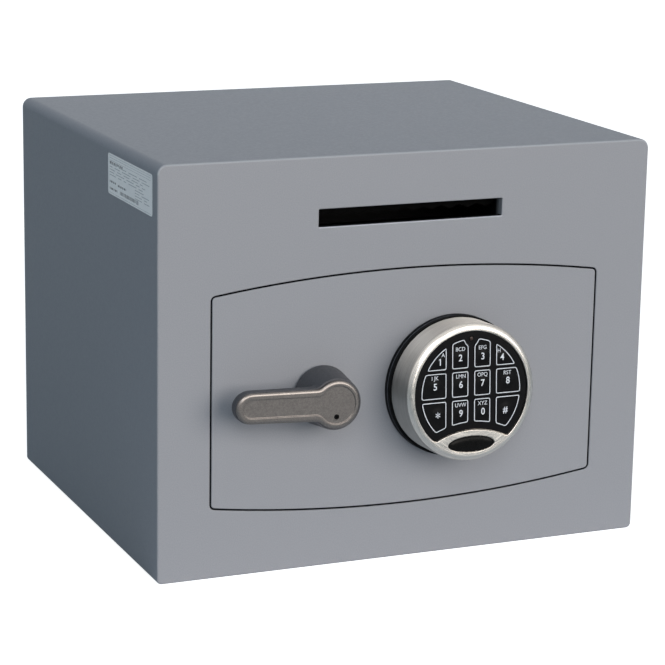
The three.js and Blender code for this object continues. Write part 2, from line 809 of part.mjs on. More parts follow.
function addCarriage(group) {
  const halfFlange = carriageFlangeHeight / 2;
  const flangeFrontY = doorBackY + carriageFlangeBehindDoor;
  const flange = block(flangeLeftX, flangeRightX, flangeFrontY, flangeFrontY + carriageFlangeDepth,
    handleHeight - halfFlange, handleHeight + halfFlange);
  const panel = block(flangeLeftX, handleX + carriagePanelRight, carriageFrontY, carriageBackY,
    armTopZ - carriageArmHeight, handleHeight + carriagePanelHeight / 2);
  const arm = block(flangeLeftX, lockBoltX + boltThrow + carriageArmEndMargin,
    carriageFrontY, carriageBackY, armTopZ - carriageArmHeight, armTopZ);
  const cutFrom = carriageFrontY - overrun;
  const cutTo = carriageBackY + overrun;
  const slotRadius = crankPinRadius + crankPinPlay;
  const slotLow = handleHeight + crankRadius * Math.SQRT1_2 - crankSlotPlay;
  const slotHigh = handleHeight + crankRadius + crankSlotPlay;
  const crankSlot = slabAlongY([
    ...arcPoints(crankPinX, slotHigh, slotRadius, 0, Math.PI, smallSteps / 2),
    ...arcPoints(crankPinX, slotLow, slotRadius, Math.PI, 2 * Math.PI, smallSteps / 2),
  ], cutFrom, cutTo);
  const studSlots = studPlaces().map((x) => (
    slabAlongY(slotPoints(x, x + boltThrow, armMiddleZ, studRadius + runningGap), cutFrom, cutTo)));
  const halfNotch = lockBoltWidth / 2 + lockBoltNotchPlay;
  const notches = [0, boltThrow].map((shift) => block(
    lockBoltX + shift - halfNotch, lockBoltX + shift + halfNotch,
    cutFrom, cutTo, armTopZ - lockBoltNotch, armTopZ + overrun));
  const boltHoles = [-1, 1].map((side) => rod('X', 0, boltY, handleHeight + side * boltSpacing / 2,
    flangeLeftX - overrun, flangeRightX + boltSpigotStandout + seatGap,
    boltSpigotRadius + seatGap, smallSteps));
  piece(group, 'bolt_carriage',
    cutBy(joined(flange, panel, arm), crankSlot, ...studSlots, ...notches, ...boltHoles), zincPlate);

  for (const [side, word] of [[-1, 'lower'], [1, 'upper']]) {
    const bolt = turned([
      [0, boltTipX],
      [boltRadius - boltChamfer, boltTipX],
      [boltRadius, boltTipX + boltChamfer],
      [boltRadius, flangeLeftX],
      [boltSpigotRadius, flangeLeftX],
      [boltSpigotRadius, flangeRightX + boltSpigotStandout],
      [0, flangeRightX + boltSpigotStandout],
    ], 'X', 0, boltY, handleHeight + side * boltSpacing / 2, roundSteps);
    piece(group, `locking_bolt_${word}`, bolt, brightSteel);
  }
}

// The lever's plan: a round hub, a bar to the left with a round end, and fillets. The taper is
// the share of its width that the bar loses from the fillets to the tip.
function leverOutline(hubRadius, halfBar, tip, fillet, taper) {
  const reach = Math.sqrt((hubRadius + fillet) ** 2 - (halfBar + fillet) ** 2);
  const turn = Math.atan2(halfBar + fillet, reach);
  const filletZ = halfBar + fillet;
  const hub = arcPoints(0, 0, hubRadius, turn - Math.PI, Math.PI - turn, roundSteps);
  const above = arcPoints(-reach, filletZ, fillet, -turn, -Math.PI / 2, cornerSteps).slice(1);
  const end = arcPoints(halfBar - tip, 0, halfBar, Math.PI / 2, 3 * Math.PI / 2, smallSteps);
  const below = arcPoints(-reach, -filletZ, fillet, Math.PI / 2, turn, cornerSteps).slice(0, -1);
  const narrowed = [...above, ...end, ...below].map((p) => (
    new THREE.Vector2(p.x, p.y * (1 - taper * Math.max(0, -reach - p.x) / (tip - reach)))));
  return [...hub, ...narrowed];
}

// Built about the spindle's axis, with the door's face at Y = 0 and the lever to the left.
function addHandle(group) {
  const front = -handleStandout;
  const faceBack = front + handleFaceSheet;
  const leverBack = front + leverThickness;
  const bodyFront = faceBack + seatGap;
  const halfBar = leverWidth / 2;

  const faceOutline = leverOutline(hubFaceRadius, halfBar, handleLength, hubFillet, leverTaper);
  const recess = leverOutline(handlePanelRadius, handlePanelWidth / 2,
    handleLength - handlePanelInset, hubFillet, 0);
  const raised = leverOutline(hubFaceRadius - handleStep, halfBar - handleStep,
    handleLength - handleStep, hubFillet, leverTaper);
  const facePlate = joined(
    slabAlongY(faceOutline, front + handleStep, faceBack),
    slabAlongY(raised, front, faceBack));
  const screwHole = rod('Y', 0, 0, -faceScrewBelowAxis, front - overrun,
    front + faceScrewRecess + faceScrewLength, faceScrewRadius + seatGap, smallSteps);
  piece(group, 'handle_faceplate',
    cutBy(facePlate, slabAlongY(recess, front - overrun, front + handleRecess), screwHole), nickelCast);

  const body = leverOutline(hubFaceRadius + handleBodyMargin, halfBar + handleBodyMargin,
    handleLength + handleBodyMargin, hubFillet, leverTaper);
  const boss = turned([
    [0, -bossDoorGap],
    [bossBaseRadius, -bossDoorGap],
    [bossFrontRadius, bodyFront],
    [0, bodyFront],
  ], 'Y', 0, 0, 0, roundSteps);
  const socket = rod('Y', 0, 0, 0, -spindleSocket, overrun, spindleRadius + seatGap, roundSteps);
  piece(group, 'handle_lever',
    cutBy(joined(slabAlongY(body, bodyFront, leverBack), boss), socket, screwHole), darkCast);

  const screwFront = front + faceScrewRecess;
  piece(group, 'handle_face_screw', rod('Y', 0, 0, -faceScrewBelowAxis, screwFront,
    screwFront + faceScrewLength - seatGap, faceScrewRadius, smallSteps), brightSteel);

  const crankNear = doorSheet + crankBehindDoor;
  const crankFar = crankNear + crankSheet;
  piece(group, 'handle_spindle',
    rod('Y', 0, 0, 0, seatGap - spindleSocket, crankFar, spindleRadius, roundSteps), brightSteel);
}

// The crank sits on the spindle behind the door. Its pin starts 45 degrees right of vertical.
function addCrank(group) {
  const near = doorBackY + crankBehindDoor;
  const far = near + crankSheet;
  const pinZ = handleHeight + crankRadius * Math.SQRT1_2;
  const hub = rod('Y', handleX, 0, handleHeight, near, far, crankHubRadius, roundSteps);
  const tip = rod('Y', crankPinX, 0, pinZ, near, far, crankTipRadius, smallSteps);
  const pin = rod('Y', crankPinX, 0, pinZ, near, far + crankPinStandout, crankPinRadius, smallSteps);
  const bore = rod('Y', handleX, 0, handleHeight, near - overrun, far + overrun,
    spindleRadius + seatGap, roundSteps);
  piece(group, 'drive_crank', cutBy(joined(hub, tip, pin), bore), zincPlate);
}

function addBush(group) {
  const inner = spindleRadius + runningGap;
  const outer = inner + bushWall;
  piece(group, 'spindle_bush', turned([
    [inner, frontY + seatGap],
    [outer, frontY + seatGap],
    [outer, doorBackY],
    [bushFlangeRadius, doorBackY],
    [bushFlangeRadius, doorBackY + bushFlange],
    [inner, doorBackY + bushFlange],
    [inner, frontY + seatGap],
  ], 'Y', handleX, 0, handleHeight, roundSteps), brassAlloy);
}

// The face's outline: a circle cut at the bottom by an arc that bows upwards, with rounded corners.
function faceOutline(grow) {
  const radius = faceRadius + grow;
  const arcRadius = faceArcRadius - grow;
  const arcZ = -faceArcBelow - faceArcRadius;
  const corner = Math.max(faceCornerRadius + grow, faceCornerRadius / 4);
  const toCorner = radius - corner;
  const toArc = arcRadius + corner;
  const cornerZ = (toCorner ** 2 - toArc ** 2 + arcZ ** 2) / (2 * arcZ);
  const cornerX = Math.sqrt(toCorner ** 2 - cornerZ ** 2);
  const outAngle = Math.atan2(cornerZ, cornerX);
  const inAngle = Math.atan2(arcZ - cornerZ, -cornerX);
  const arcAngle = Math.atan2(cornerZ - arcZ, cornerX);
  return [
    ...arcPoints(0, 0, radius, outAngle, Math.PI - outAngle, wideSteps),
    ...arcPoints(-cornerX, cornerZ, corner, Math.PI - outAngle, Math.PI - inAngle, cornerSteps).slice(1),
    ...arcPoints(0, arcZ, arcRadius, Math.PI - arcAngle, arcAngle, 2 * bowSteps).slice(1),
    ...arcPoints(cornerX, cornerZ, corner, inAngle, outAngle, cornerSteps).slice(1, -1),
  ];
}

// Places a thing drawn on the keypad's face, whose outward side is -Y, on the tilted face.
function faceMatrix() {
  const matrix = new THREE.Matrix4().makeRotationX(THREE.MathUtils.degToRad(-keypadTiltDegrees));
  return matrix.setPosition(0, -keypadStandout, 0);
}

function onFace(solid) {
  const geometry = geometryOf(solid);
  geometry.applyMatrix4(faceMatrix());
  return solidOf(geometry);
}

function faceRing(radius, y) {
  return ringAt(circlePoints(0, 0, radius, wideSteps), y).map((p) => p.applyMatrix4(faceMatrix()));
}

// Built about the keypad's middle, with the door's face at Y = 0.
function addKeypadBody(group) {
  const back = -keypadRingRim;
  const middle = back / 2;
  const innerRadius = keypadRadius - keypadWall;
  const cableHole = rod('Y', 0, 0, cableAbove, back - overrun, overrun, cableHoleRadius, smallSteps);
  const ring = turned([
    [0, 0],
    [keypadRingRadius, 0],
    [keypadRingRadius, middle],
    [keypadRingRadius - keypadGroove, middle - keypadGroove / 2],
    [keypadRingRadius, middle - keypadGroove],
    [keypadRingRadius, back + keypadRingChamfer],
    [keypadRingRadius - keypadRingChamfer, back],
    [innerRadius, back],
    [innerRadius, -keypadRingFloor],
    [0, -keypadRingFloor],
  ], 'Y', 0, 0, 0, wideSteps);
  piece(group, 'keypad_base_ring', cutBy(ring, cableHole), rubber);

  const bezel = [];
  for (let i = 0; i <= cornerSteps; i += 1) {
    const turn = Math.PI / 2 * i / cornerSteps;
    const radius = keypadRadius - bezelRound * (1 - Math.cos(turn));
    bezel.push(faceRing(radius, bezelRound * (1 - Math.sin(turn)) - bezelRise));
  }
  const outer = loft([ringAt(circlePoints(0, 0, keypadRadius, wideSteps), back), ...bezel].reverse());
  const cavity = loft([
    faceRing(innerRadius, keypadFrontWall),
    ringAt(circlePoints(0, 0, innerRadius, wideSteps), back + overrun),
  ]);
  const recess = slabAlongY(faceOutline(runningGap), -bezelRise - overrun, faceSheet + seatGap);
  const window = slabAlongY(faceOutline(-faceLip), 0, keypadFrontWall + overrun);
  const badgePocket = slabAlongY(badgeOutline(seatGap), -bezelRise - overrun,
    badgeRecess + badgeSheet + seatGap - bezelRise);
  piece(group, 'keypad_housing',
    cutBy(outer, cavity, onFace(recess), onFace(window), onFace(badgePocket)), satinSteel);

  const batteryBack = -keypadRingFloor - seatGap;
  piece(group, 'keypad_battery', block(-batteryLength / 2, batteryLength / 2,
    batteryBack - batteryThickness, batteryBack,
    -batteryBelow - batteryWidth / 2, batteryWidth / 2 - batteryBelow), batteryWrap);
}

function badgeOutline(grow) {
  return circlePoints(0, 0, 1, roundSteps).map((p) => new THREE.Vector2(
    p.x * (badgeWidth / 2 + grow), p.y * (badgeHeight / 2 + grow) - badgeBelow));
}

// One key's solid, grown by a margin: its cell in the grid, inside the round key field, above
// the arc at the bottom and clear of the status lamp.
function keySolid(column, row, grow, near, far) {
  const side = column < 2 ? -1 : 1;
  const isInner = column === 1 || column === 2;
  const innerFrom = keyMiddleGap / 2;
  const outerFrom = innerFrom + keyInnerWidth + keyColumnGap;
  const from = (isInner ? innerFrom : outerFrom) - grow;
  const to = isInner ? innerFrom + keyInnerWidth + grow : keyFieldRadius + grow;
  const rowTop = row === 0 ? keyFieldRadius : keyRowAbove - (row - 1) * keyRowPitch - keyRowGap / 2;
  const rowBottom = row === 2 ? -keyFieldRadius : keyRowAbove - row * keyRowPitch + keyRowGap / 2;
  const cell = block(Math.min(side * from, side * to), Math.max(side * from, side * to),
    near, far, rowBottom - grow, rowTop + grow);
  const field = rod('Y', 0, 0, 0, near - overrun, far + overrun, keyFieldRadius + grow, 2 * wideSteps);
  const arc = rod('Y', 0, 0, -faceArcBelow - faceArcRadius, near - overrun, far + overrun,
    faceArcRadius + keyFieldMargin - grow, 3 * wideSteps);
  const lamp = rod('Y', 0, 0, lampAbove, near - overrun, far + overrun,
    lampNotchRadius - grow, smallSteps);
  return cutBy(cell.intersect(field), arc, lamp);
}

const keyRows = [
  ['1', '2', '3', '4'],
  ['5', '6', '7', '8'],
  ['star', '9', '0', 'hash'],
];

function addKeypadFace(group) {
  const windows = keyRows.flatMap((names, row) => names.map((name, column) => (
    keySolid(column, row, runningGap, -overrun, faceSheet + overrun))));
  const lampHole = rod('Y', 0, 0, lampAbove, -overrun, faceSheet + overrun,
    lampRadius + seatGap, smallSteps);
  const plate = slabAlongY(faceOutline(0), 0, faceSheet);
  piece(group, 'keypad_faceplate', cutBy(plate, ...windows, lampHole), blackPlastic);

  const keyFront = -keyStandout;
  keyRows.forEach((names, row) => names.forEach((name, column) => {
    piece(group, `key_${name}`, keySolid(column, row, 0, keyFront, keyFront + keyLength), keyPlastic);
  }));

  const badgeFront = badgeRecess - bezelRise;
  piece(group, 'keypad_badge',
    slabAlongY(badgeOutline(0), badgeFront, badgeFront + badgeSheet), blackPlastic);
  piece(group, 'keypad_lamp', rod('Y', 0, 0, lampAbove, -lampStandout, lampLength - lampStandout,
    lampRadius, smallSteps), lampLens);
  const boardFront = keypadFrontWall + seatGap;
  piece(group, 'keypad_circuit_board', rod('Y', 0, 0, 0, boardFront, boardFront + boardSheet,
    keypadRadius - keypadWall - boardMargin, roundSteps), boardGreen);
}

function addLock(doorGroup, boltGroup) {
  const right = keypadX + lockCaseRightOfKeypad;
  const left = right - lockCaseWidth;
  const bottom = lockCaseBottom;
  const top = bottom + lockCaseHeight;
  const back = doorBackY + lockCaseDepth;
  const halfWidth = lockBoltWidth / 2;
  const halfDepth = lockBoltDepth / 2;
  const shell = cutBy(
    block(left, right, doorBackY, back, bottom, top),
    block(left + lockCaseWall, right - lockCaseWall, doorBackY - overrun, back - lockCaseWall,
      bottom + lockCaseWall, top - lockCaseWall),
    block(lockBoltX - halfWidth - runningGap, lockBoltX + halfWidth + runningGap,
      lockBoltY - halfDepth - runningGap, lockBoltY + halfDepth + runningGap,
      bottom - overrun, bottom + lockCaseWall + overrun));
  piece(doorGroup, 'lock_case', shell, zincPlate);

  const coilTop = top - lockCaseWall - seatGap;
  const coilBottom = coilTop - solenoidLength;
  const coil = rod('Z', lockBoltX, lockBoltY, 0, coilBottom, coilTop, solenoidRadius, roundSteps);
  const bore = rod('Z', lockBoltX, lockBoltY, 0, coilBottom - overrun, coilTop + overrun,
    plungerRadius + runningGap, smallSteps);
  piece(doorGroup, 'lock_solenoid', cutBy(coil, bore), brassAlloy);

  const boltBottom = armTopZ + lockBoltAboveArm;
  const boltTop = boltBottom + lockBoltBlock;
  const tongue = block(lockBoltX - halfWidth, lockBoltX + halfWidth,
    lockBoltY - halfDepth, lockBoltY + halfDepth, boltBottom, boltTop);
  const plunger = rod('Z', lockBoltX, lockBoltY, 0, boltTop - overrun, boltTop + plungerLength,
    plungerRadius, smallSteps);
  piece(boltGroup, 'lock_bolt', joined(tongue, plunger), brightSteel);

  const boardBack = new THREE.Vector3(0, keypadFrontWall + 2 * seatGap + boardSheet, cableAbove);
  boardBack.applyMatrix4(faceMatrix());
  const route = new THREE.CatmullRomCurve3([
    new THREE.Vector3(keypadX, frontY + boardBack.y, cableZ),
    new THREE.Vector3(keypadX, frontY - keypadRingFloor, cableZ),
    new THREE.Vector3(keypadX, doorBackY, cableZ),
    new THREE.Vector3(keypadX + cableRadius, lockBoltY - solenoidRadius, cableZ),
    new THREE.Vector3(lockBoltX - solenoidRadius - seatGap - cableRadius / 2, lockBoltY, cableZ),
  ]);
  const section = new THREE.Shape(circlePoints(0, 0, cableRadius, cableSteps));
  piece(doorGroup, 'lock_cable', solidOf(new THREE.ExtrudeGeometry(section, {
    steps: smallSteps,
    bevelEnabled: false,
    extrudePath: route,
  })), rubber);
}

const safe = new THREE.Group();

addShell(safe);
addStopFrame(safe);
addDeposit(safe);
addFloorAndAnchors(safe);
addLabel(safe);

const door = new THREE.Group();
safe.add(door);
addHinges(safe, door);
addDoorPlate(door);
addDoorCover(door);
addBoltGuide(door);
addCarriage(door);
addBush(door);
addCrank(door);
addLock(door, door);

const handle = new THREE.Group();
handle.position.set(handleX, frontY, handleHeight);
handle.rotation.y = THREE.MathUtils.degToRad(handleTiltDegrees);
door.add(handle);
addHandle(handle);

const keypad = new THREE.Group();
keypad.position.set(keypadX, frontY, keypadHeight);
door.add(keypad);
addKeypadBody(keypad);

const keypadFace = new THREE.Group();
keypadFace.applyMatrix4(faceMatrix());
keypad.add(keypadFace);
addKeypadFace(keypadFace);

export default safe;
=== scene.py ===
# The looks of a compact drop safe: a painted steel case with a deposit slot, and a flush door with
# a lever handle and a round keypad. Metres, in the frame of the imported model: X runs to the right,
# Y from the front to the back and Z up.

import json
import random
from math import atan2, cos, hypot, pi, radians, sin, sqrt

import bmesh
import bpy
from mathutils import Matrix, Vector, geometry


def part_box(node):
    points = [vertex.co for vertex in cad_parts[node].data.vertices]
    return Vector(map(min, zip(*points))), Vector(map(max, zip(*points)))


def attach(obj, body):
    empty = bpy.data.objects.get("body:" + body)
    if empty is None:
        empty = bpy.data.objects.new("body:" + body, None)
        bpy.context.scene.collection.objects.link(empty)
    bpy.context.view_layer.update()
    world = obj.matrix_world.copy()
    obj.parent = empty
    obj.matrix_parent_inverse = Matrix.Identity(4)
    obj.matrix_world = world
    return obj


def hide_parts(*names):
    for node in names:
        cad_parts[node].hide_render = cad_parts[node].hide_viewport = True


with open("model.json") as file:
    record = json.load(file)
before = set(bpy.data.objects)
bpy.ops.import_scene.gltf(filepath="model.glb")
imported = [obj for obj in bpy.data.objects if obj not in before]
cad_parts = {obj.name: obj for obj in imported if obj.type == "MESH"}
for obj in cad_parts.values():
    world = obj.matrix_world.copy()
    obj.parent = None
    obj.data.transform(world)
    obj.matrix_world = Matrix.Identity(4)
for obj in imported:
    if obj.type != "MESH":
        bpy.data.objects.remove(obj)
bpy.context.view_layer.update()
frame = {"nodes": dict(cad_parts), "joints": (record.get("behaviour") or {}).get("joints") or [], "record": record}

MM = 0.001
TURN = 2 * pi
WELD = 0.001 * MM

# Camera, in front of the safe, to the left and above
CAMERA_PLACE = (-0.6729, -1.5885, 0.5398)
CAMERA_HEADING_DEGREES = 23.253
CAMERA_DROP_DEGREES = 13.679
CAMERA_ROLL_DEGREES = 1.012
CAMERA_SENSOR_MM = 36
CAMERA_LENS_MM = 134.27

# Light
LIGHTS = (  # name, where it comes from, colour, strength, angle in degrees, shown in gloss
    ("key", (0.42, -1, 0.2), (1, 0.932, 0.872), 2.66, 52, True),
    ("rim", (-0.31, -0.79, 0.55), (0.97, 0.985, 1), 0.7, 25, True),
    ("back", (0.5, 1, 0.06), (1, 0.95, 0.9), 1.3, 12, False),
)
WHITE = (1, 1, 1, 1)
WORLD_COLOR = (0.13, 0.2, 0.275, 1)
HORIZON_MIRRORED = 0.4
HORIZON_HEIGHT = 0.5
FLOOR_ALBEDO = (0.50, 0.52, 0.50, 1)
FLOOR_NEAR_ALBEDO = (0.92, 0.95, 0.98, 1)
FLOOR_STRIP = 0.5
FLOOR_FADE = 0.02
FLOOR_GLOW = 0.9
FLOOR_MIRRORED_GLOW = 0.08
FLOOR_SIZE = 12

# Finishes: the levels between which a noise pattern mostly lies
PATTERN_LOW = 0.35
PATTERN_HIGH = 0.65

# Meshes
CREASE_DEGREES = 32
DRESSED_CREASE_DEGREES = 38
FLAT_DEGREES = 0.5
EASE_STEPS = 4
HOLE_STEPS = 48
TURNED_STEPS = 64
SMALL_STEPS = 24

# Case
RIDGE_ROUND = 6.5 * MM
FLOOR_RIDGE_ROUND = 3.6 * MM
FLOOR_BEND_ROUND = 0.8 * MM
RIDGE_STEPS = 10
CASE_EDGE_ROUND = 1.2 * MM
OPENING_EDGE_ROUND = 0.7 * MM
EDGE_STEPS = 4
SHEET = 3 * MM
DOOR_GAP = 1.1 * MM
DOOR_RISE = 10 * MM
DOOR_CORNER = 2.6 * MM
DOOR_EDGE_ROUND = 0.7 * MM
DOOR_TAPER = 3 * MM
DOOR_SHEET = 8 * MM
BOW_STEPS = 48
CORNER_STEPS = 8
SLOT_WIDTH = 131.2 * MM
SLOT_HEIGHT = 11.8 * MM
SLOT_BELOW_TOP = 34.3 * MM
SLOT_CORNER = 0.8 * MM
SLOT_END = SLOT_WIDTH / 2 - 0.2 * MM
# How deep the chute's painted shade takes to go from grey to near-black
SHADE_FADE_DEPTH = 5 * MM
# The sides of the slot's lower lip, whose rounded edge takes a painted highlight
SLOT_FOOT_FROM = 24
SLOT_FOOT_TO = 31
PLUG_HOLE_RADIUS = 7 * MM
PLUG_RIM = 1.2 * MM
PLUG_SLOPE = 0.8 * MM
PLUG_SINK = 0.5 * MM
PLUG_FLANGE = 1.5 * MM
PLUG_DOME = 3 * MM
PLUG_EASE = 0.4 * MM
MAT_CORNER = 3 * MM
MAT_SOFT = 0.6 * MM
MAT_HOLE_RADIUS = 11 * MM

# Door
POST_RADIUS = 3.8 * MM
POST_BORE_RADIUS = 1.9 * MM
POST_BORE_DEPTH = 12 * MM
COVER_SHEET = 1.5 * MM
SPINDLE_HOLE_RADIUS = 8.05 * MM
CABLE_HOLE_RADIUS = 4.5 * MM
CABLE_ABOVE_KEYPAD = 9 * MM
PIN_RADIUS = 2.8 * MM
PIN_HEAD = 2 * MM
BOLT_NOSE = 1.5 * MM
BOLT_SPIGOT = 7 * MM
BOLT_SPIGOT_RADIUS = 4 * MM
STUD_NECK = 3 * MM
STUD_COLLAR = 11.7 * MM
STUD_HEAD = 2.5 * MM
COVER_SCREWS = ("cover_screw_1", "cover_screw_2", "cover_screw_3", "cover_screw_4")
SHANK_RADIUS = 1.6 * MM
PAN_HEIGHT = 2.2 * MM
PAN_WALL = 0.9 * MM
PAN_EASE = 0.5 * MM
CROSS_DEPTH = 1.3 * MM
CROSS_TAPER = 0.7

# Handle
HANDLE_TILT_DEGREES = 2.35
LEVER_HALF_WIDTH = 10.5 * MM
LEVER_TAPER = 0.058
HUB_FILLET = 7 * MM
HUB_STEPS = 72
FILLET_STEPS = 10
TIP_STEPS = 32
FACE_GAP = 0.3 * MM
RIM_ROUND = 1.9 * MM
RIM_SLOPE_DEGREES = 52
RIM_STEPS = 8
PANEL_RADIUS = 12.5 * MM
PANEL_HALF_WIDTH = 5.95 * MM
PANEL_INSET = 4.4 * MM
PANEL_DEPTH = 0.7 * MM
PANEL_WALL = 0.25 * MM
PANEL_LAND = 0.5 * MM
PANEL_FOOT = 0.8 * MM
PANEL_EASE = 0.25 * MM
BODY_MARGIN = 0.5 * MM
BODY_THICKNESS = 9 * MM
BODY_EDGE_ROUND = 1.2 * MM
BOSS_FRONT_RADIUS = 17.2 * MM
BOSS_BASE_RADIUS = 20.2 * MM
BOSS_DOOR_GAP = 0.8 * MM
SPINDLE_RADIUS = 5 * MM
SPINDLE_SOCKET = 19 * MM
SEAT_GAP = 0.3 * MM
FACE_SCREW_BELOW_AXIS = 8 * MM
FACE_SCREW_RADIUS = 1.5 * MM
FACE_SCREW_RECESS = 1.4 * MM
FACE_SCREW_LENGTH = 7 * MM
FACE_SCREW_SOCKET = 0.9 * MM
FACE_SCREW_CHAMFER = 0.3 * MM

# Keypad
KEYPAD_TILT_DEGREES = 3
KEYPAD_STANDOUT = 31 * MM
RING_FLOOR = 4 * MM
RING_RIM = 7.4 * MM
RING_GROOVE = 1 * MM
RING_FLARE = 0.9 * MM
RING_DROP = 0.4 * MM
RING_EASE = 0.45 * MM
KEYPAD_STEPS = 144
KEYPAD_WALL = 2.5 * MM
BEZEL_ROUND = 4 * MM
BEZEL_RISE = 1.5 * MM
BEZEL_STEPS = 12
BRUSHED_STEPS = 6
KEYPAD_FRONT_WALL = 5.2 * MM
FACE_RADIUS = 40.7 * MM
FACE_PLATE = 2 * MM
FACE_LIP = 2.4 * MM
FACE_ARC_RADIUS = 57.2 * MM
FACE_ARC_BELOW = 25 * MM
FACE_CORNER = 2.4 * MM
FACE_CLEARANCE = 0.35 * MM
FACE_EDGE_ROUND = 0.2 * MM
RECESS_ROUND = 0.3 * MM
POCKET_ROUND = 0.25 * MM
BADGE_SHEET = 1 * MM
BADGE_RECESS = 0.2 * MM
BADGE_EDGE_ROUND = 0.3 * MM
BADGE_CROWN = (  # share of the badge's height, and rise in millimetres
    (0.86, 0), (0.84, -0.1), (0.80, -0.1), (0.6, 0.02), (0.35, 0.1), (0.12, 0.13))
LAMP_LENGTH = 4 * MM
LAMP_DOME = 0.3 * MM
LAMP_DOME_STEPS = 6

# Keys
FRONT_FLATNESS = 0.05 * MM
KEY_STANDOUT = 0.5 * MM
KEY_LENGTH = 4.8 * MM
KEY_WINDOW_GAP = 0.35 * MM
KEY_SPACING = 0.35 * MM
KEY_SOFTNESS = 0.9 * MM
KEY_EDGE_ROUND = 0.08 * MM
OUTLINE_INSET = 0.1 * MM
OUTLINE_WIDTH = 0.52 * MM
OUTLINE_RISE = 0.08 * MM
DOME_RADIUS = 6 * MM
DOME_RISE = 0.25 * MM
DOME_RINGS = 20
DIGIT_HEIGHT = 4.3 * MM
LETTER_HEIGHT = 2.55 * MM
STAR_HEIGHT = 4 * MM
CAPITAL_HEIGHT = 0.682
DIGIT_STRETCH = 0.92
LETTER_STRETCH = 0.94
BOLDNESS = {DIGIT_HEIGHT: 0.012, STAR_HEIGHT: 0.006, LETTER_HEIGHT: 0}
LEGEND_RISE = 0.05 * MM
LEGEND_SINK = 0.4 * MM
FLAG_LENGTH = 0.17
FLAG_HEIGHTS = (0.5, 0.35, 0.24, 0.37)


def srgb(red, green, blue):
    """A colour as read off a screen, from 0 to 255, as the linear values that a shader takes."""
    def linear(value):
        value /= 255
        return value / 12.92 if value <= 0.04045 else ((value + 0.055) / 1.055) ** 2.4
    return (linear(red), linear(green), linear(blue), 1)


class Graph:
    """The nodes of a material or a world, with short ways to add to them."""

    def __init__(self, owner):
        owner.use_nodes = True
        self.nodes = owner.node_tree.nodes
        self.links = owner.node_tree.links

    def feed(self, socket, value):
        """Links a socket to a source, or gives it a value."""
        if isinstance(value, bpy.types.NodeSocket):
            self.links.new(value, socket)
        else:
            socket.default_value = value

    def add(self, kind, sockets=None, **settings):
        """Adds a node with its settings, feeds its sockets, and returns its outputs."""
        node = self.nodes.new(kind)
        for name, value in settings.items():
            setattr(node, name, value)
        for name, value in (sockets or {}).items():
            self.feed(node.inputs[name], value)
        return node.outputs

    def ramp(self, source, *stops):
        """A colour for each level of a pattern, from (level, colour) stops in rising order."""
        node = self.nodes.new("ShaderNodeValToRGB")
        elements = node.color_ramp.elements
        while len(elements) < len(stops):
            elements.new(1)
        for i, (level, colour) in enumerate(stops):
            elements[i].position = level
            elements[i].color = colour
        self.links.new(source, node.inputs["Fac"])
        return node.outputs["Color"]


class Finish(Graph):
    """A material whose colour, gloss and relief vary by nodes, in the piece's own coordinates."""

    def __init__(self, name, roughness, metallic=0.0):
        self.material = bpy.data.materials.new(name)
        super().__init__(self.material)
        self.shader = self.nodes["Principled BSDF"]
        self.set(Roughness=roughness, Metallic=metallic)
        self.place = self.add("ShaderNodeTexCoord")["Object"]

    def set(self, **values):
        """Feeds the shader's sockets. A low line in a name stands for a space."""
        for name, value in values.items():
            self.feed(self.shader.inputs[name.replace("_", " ")], value)

    def stretched(self, x, y, z):
        """The piece's coordinates, scaled apart so that a pattern runs along one direction."""
        return self.add("ShaderNodeMapping", {"Scale": (x, y, z), "Vector": self.place})[0]

    def round_axis(self, centre, around, along, across):
        """Coordinates that follow a turned surface about an axis along Y: angle, depth, radius."""
        middle = self.add("ShaderNodeVectorMath", {0: self.place, 1: centre}, operation="SUBTRACT")[0]
        split = self.add("ShaderNodeSeparateXYZ", {0: middle})
        angle = self.add("ShaderNodeMath", {0: split["Z"], 1: split["X"]}, operation="ARCTAN2")[0]
        flat = self.add("ShaderNodeCombineXYZ", {"X": split["X"], "Z": split["Z"]})[0]
        radius = self.add("ShaderNodeVectorMath", {0: flat}, operation="LENGTH")["Value"]
        scaled = {}
        for name, source, factor in (("X", angle, around), ("Y", split["Y"], along), ("Z", radius, across)):
            scaled[name] = self.add("ShaderNodeMath", {0: source, 1: factor}, operation="MULTIPLY")[0]
        return self.add("ShaderNodeCombineXYZ", scaled)[0]

    def noise(self, scale, detail=2.0, place=None):
        return self.add("ShaderNodeTexNoise", {
            "Scale": scale, "Detail": detail, "Vector": place or self.place})[0]

    def colour(self, source, first, last, start=PATTERN_LOW, end=PATTERN_HIGH):
        """A colour between two, from the pattern's level between start and end."""
        self.set(Base_Color=self.ramp(source, (start, srgb(*first)), (end, srgb(*last))))

    def gloss(self, source, low, high):
        """Roughness that varies between two values."""
        self.set(Roughness=self.add("ShaderNodeMapRange", {
            "Value": source, "From Min": PATTERN_LOW, "From Max": PATTERN_HIGH,
            "To Min": low, "To Max": high})[0])

    def relief(self, source, strength, distance):
        self.set(Normal=self.add("ShaderNodeBump", {
            "Height": source, "Strength": strength, "Distance": distance})[0])


def powder_coat(name, light, dark, roughness=0.46):
    finish = Finish(name, roughness)
    finish.colour(finish.noise(1400, 3), dark, light, 0.3, 0.7)
    finish.gloss(finish.noise(500, 2), roughness - 0.05, roughness + 0.06)
    finish.relief(finish.noise(800, 2), 0.12, 0.06 * MM)
    finish.set(Specular_IOR_Level=0.12)
    return finish


def shade_fading_coat(name, near, far):
    """Paint that goes from the near colour at the back of the front plate to the far one deeper in: painted shade
    inside the slot.
    """
    finish = powder_coat(name, near, far)
    depth = finish.add("ShaderNodeSeparateXYZ", {0: finish.place})["Y"]
    shade_fade = finish.add("ShaderNodeMapRange", {
        "Value": depth, "From Min": PLATE_BACK, "From Max": PLATE_BACK + SHADE_FADE_DEPTH})[0]
    finish.colour(shade_fade, near, far, 0, 1)
    return finish


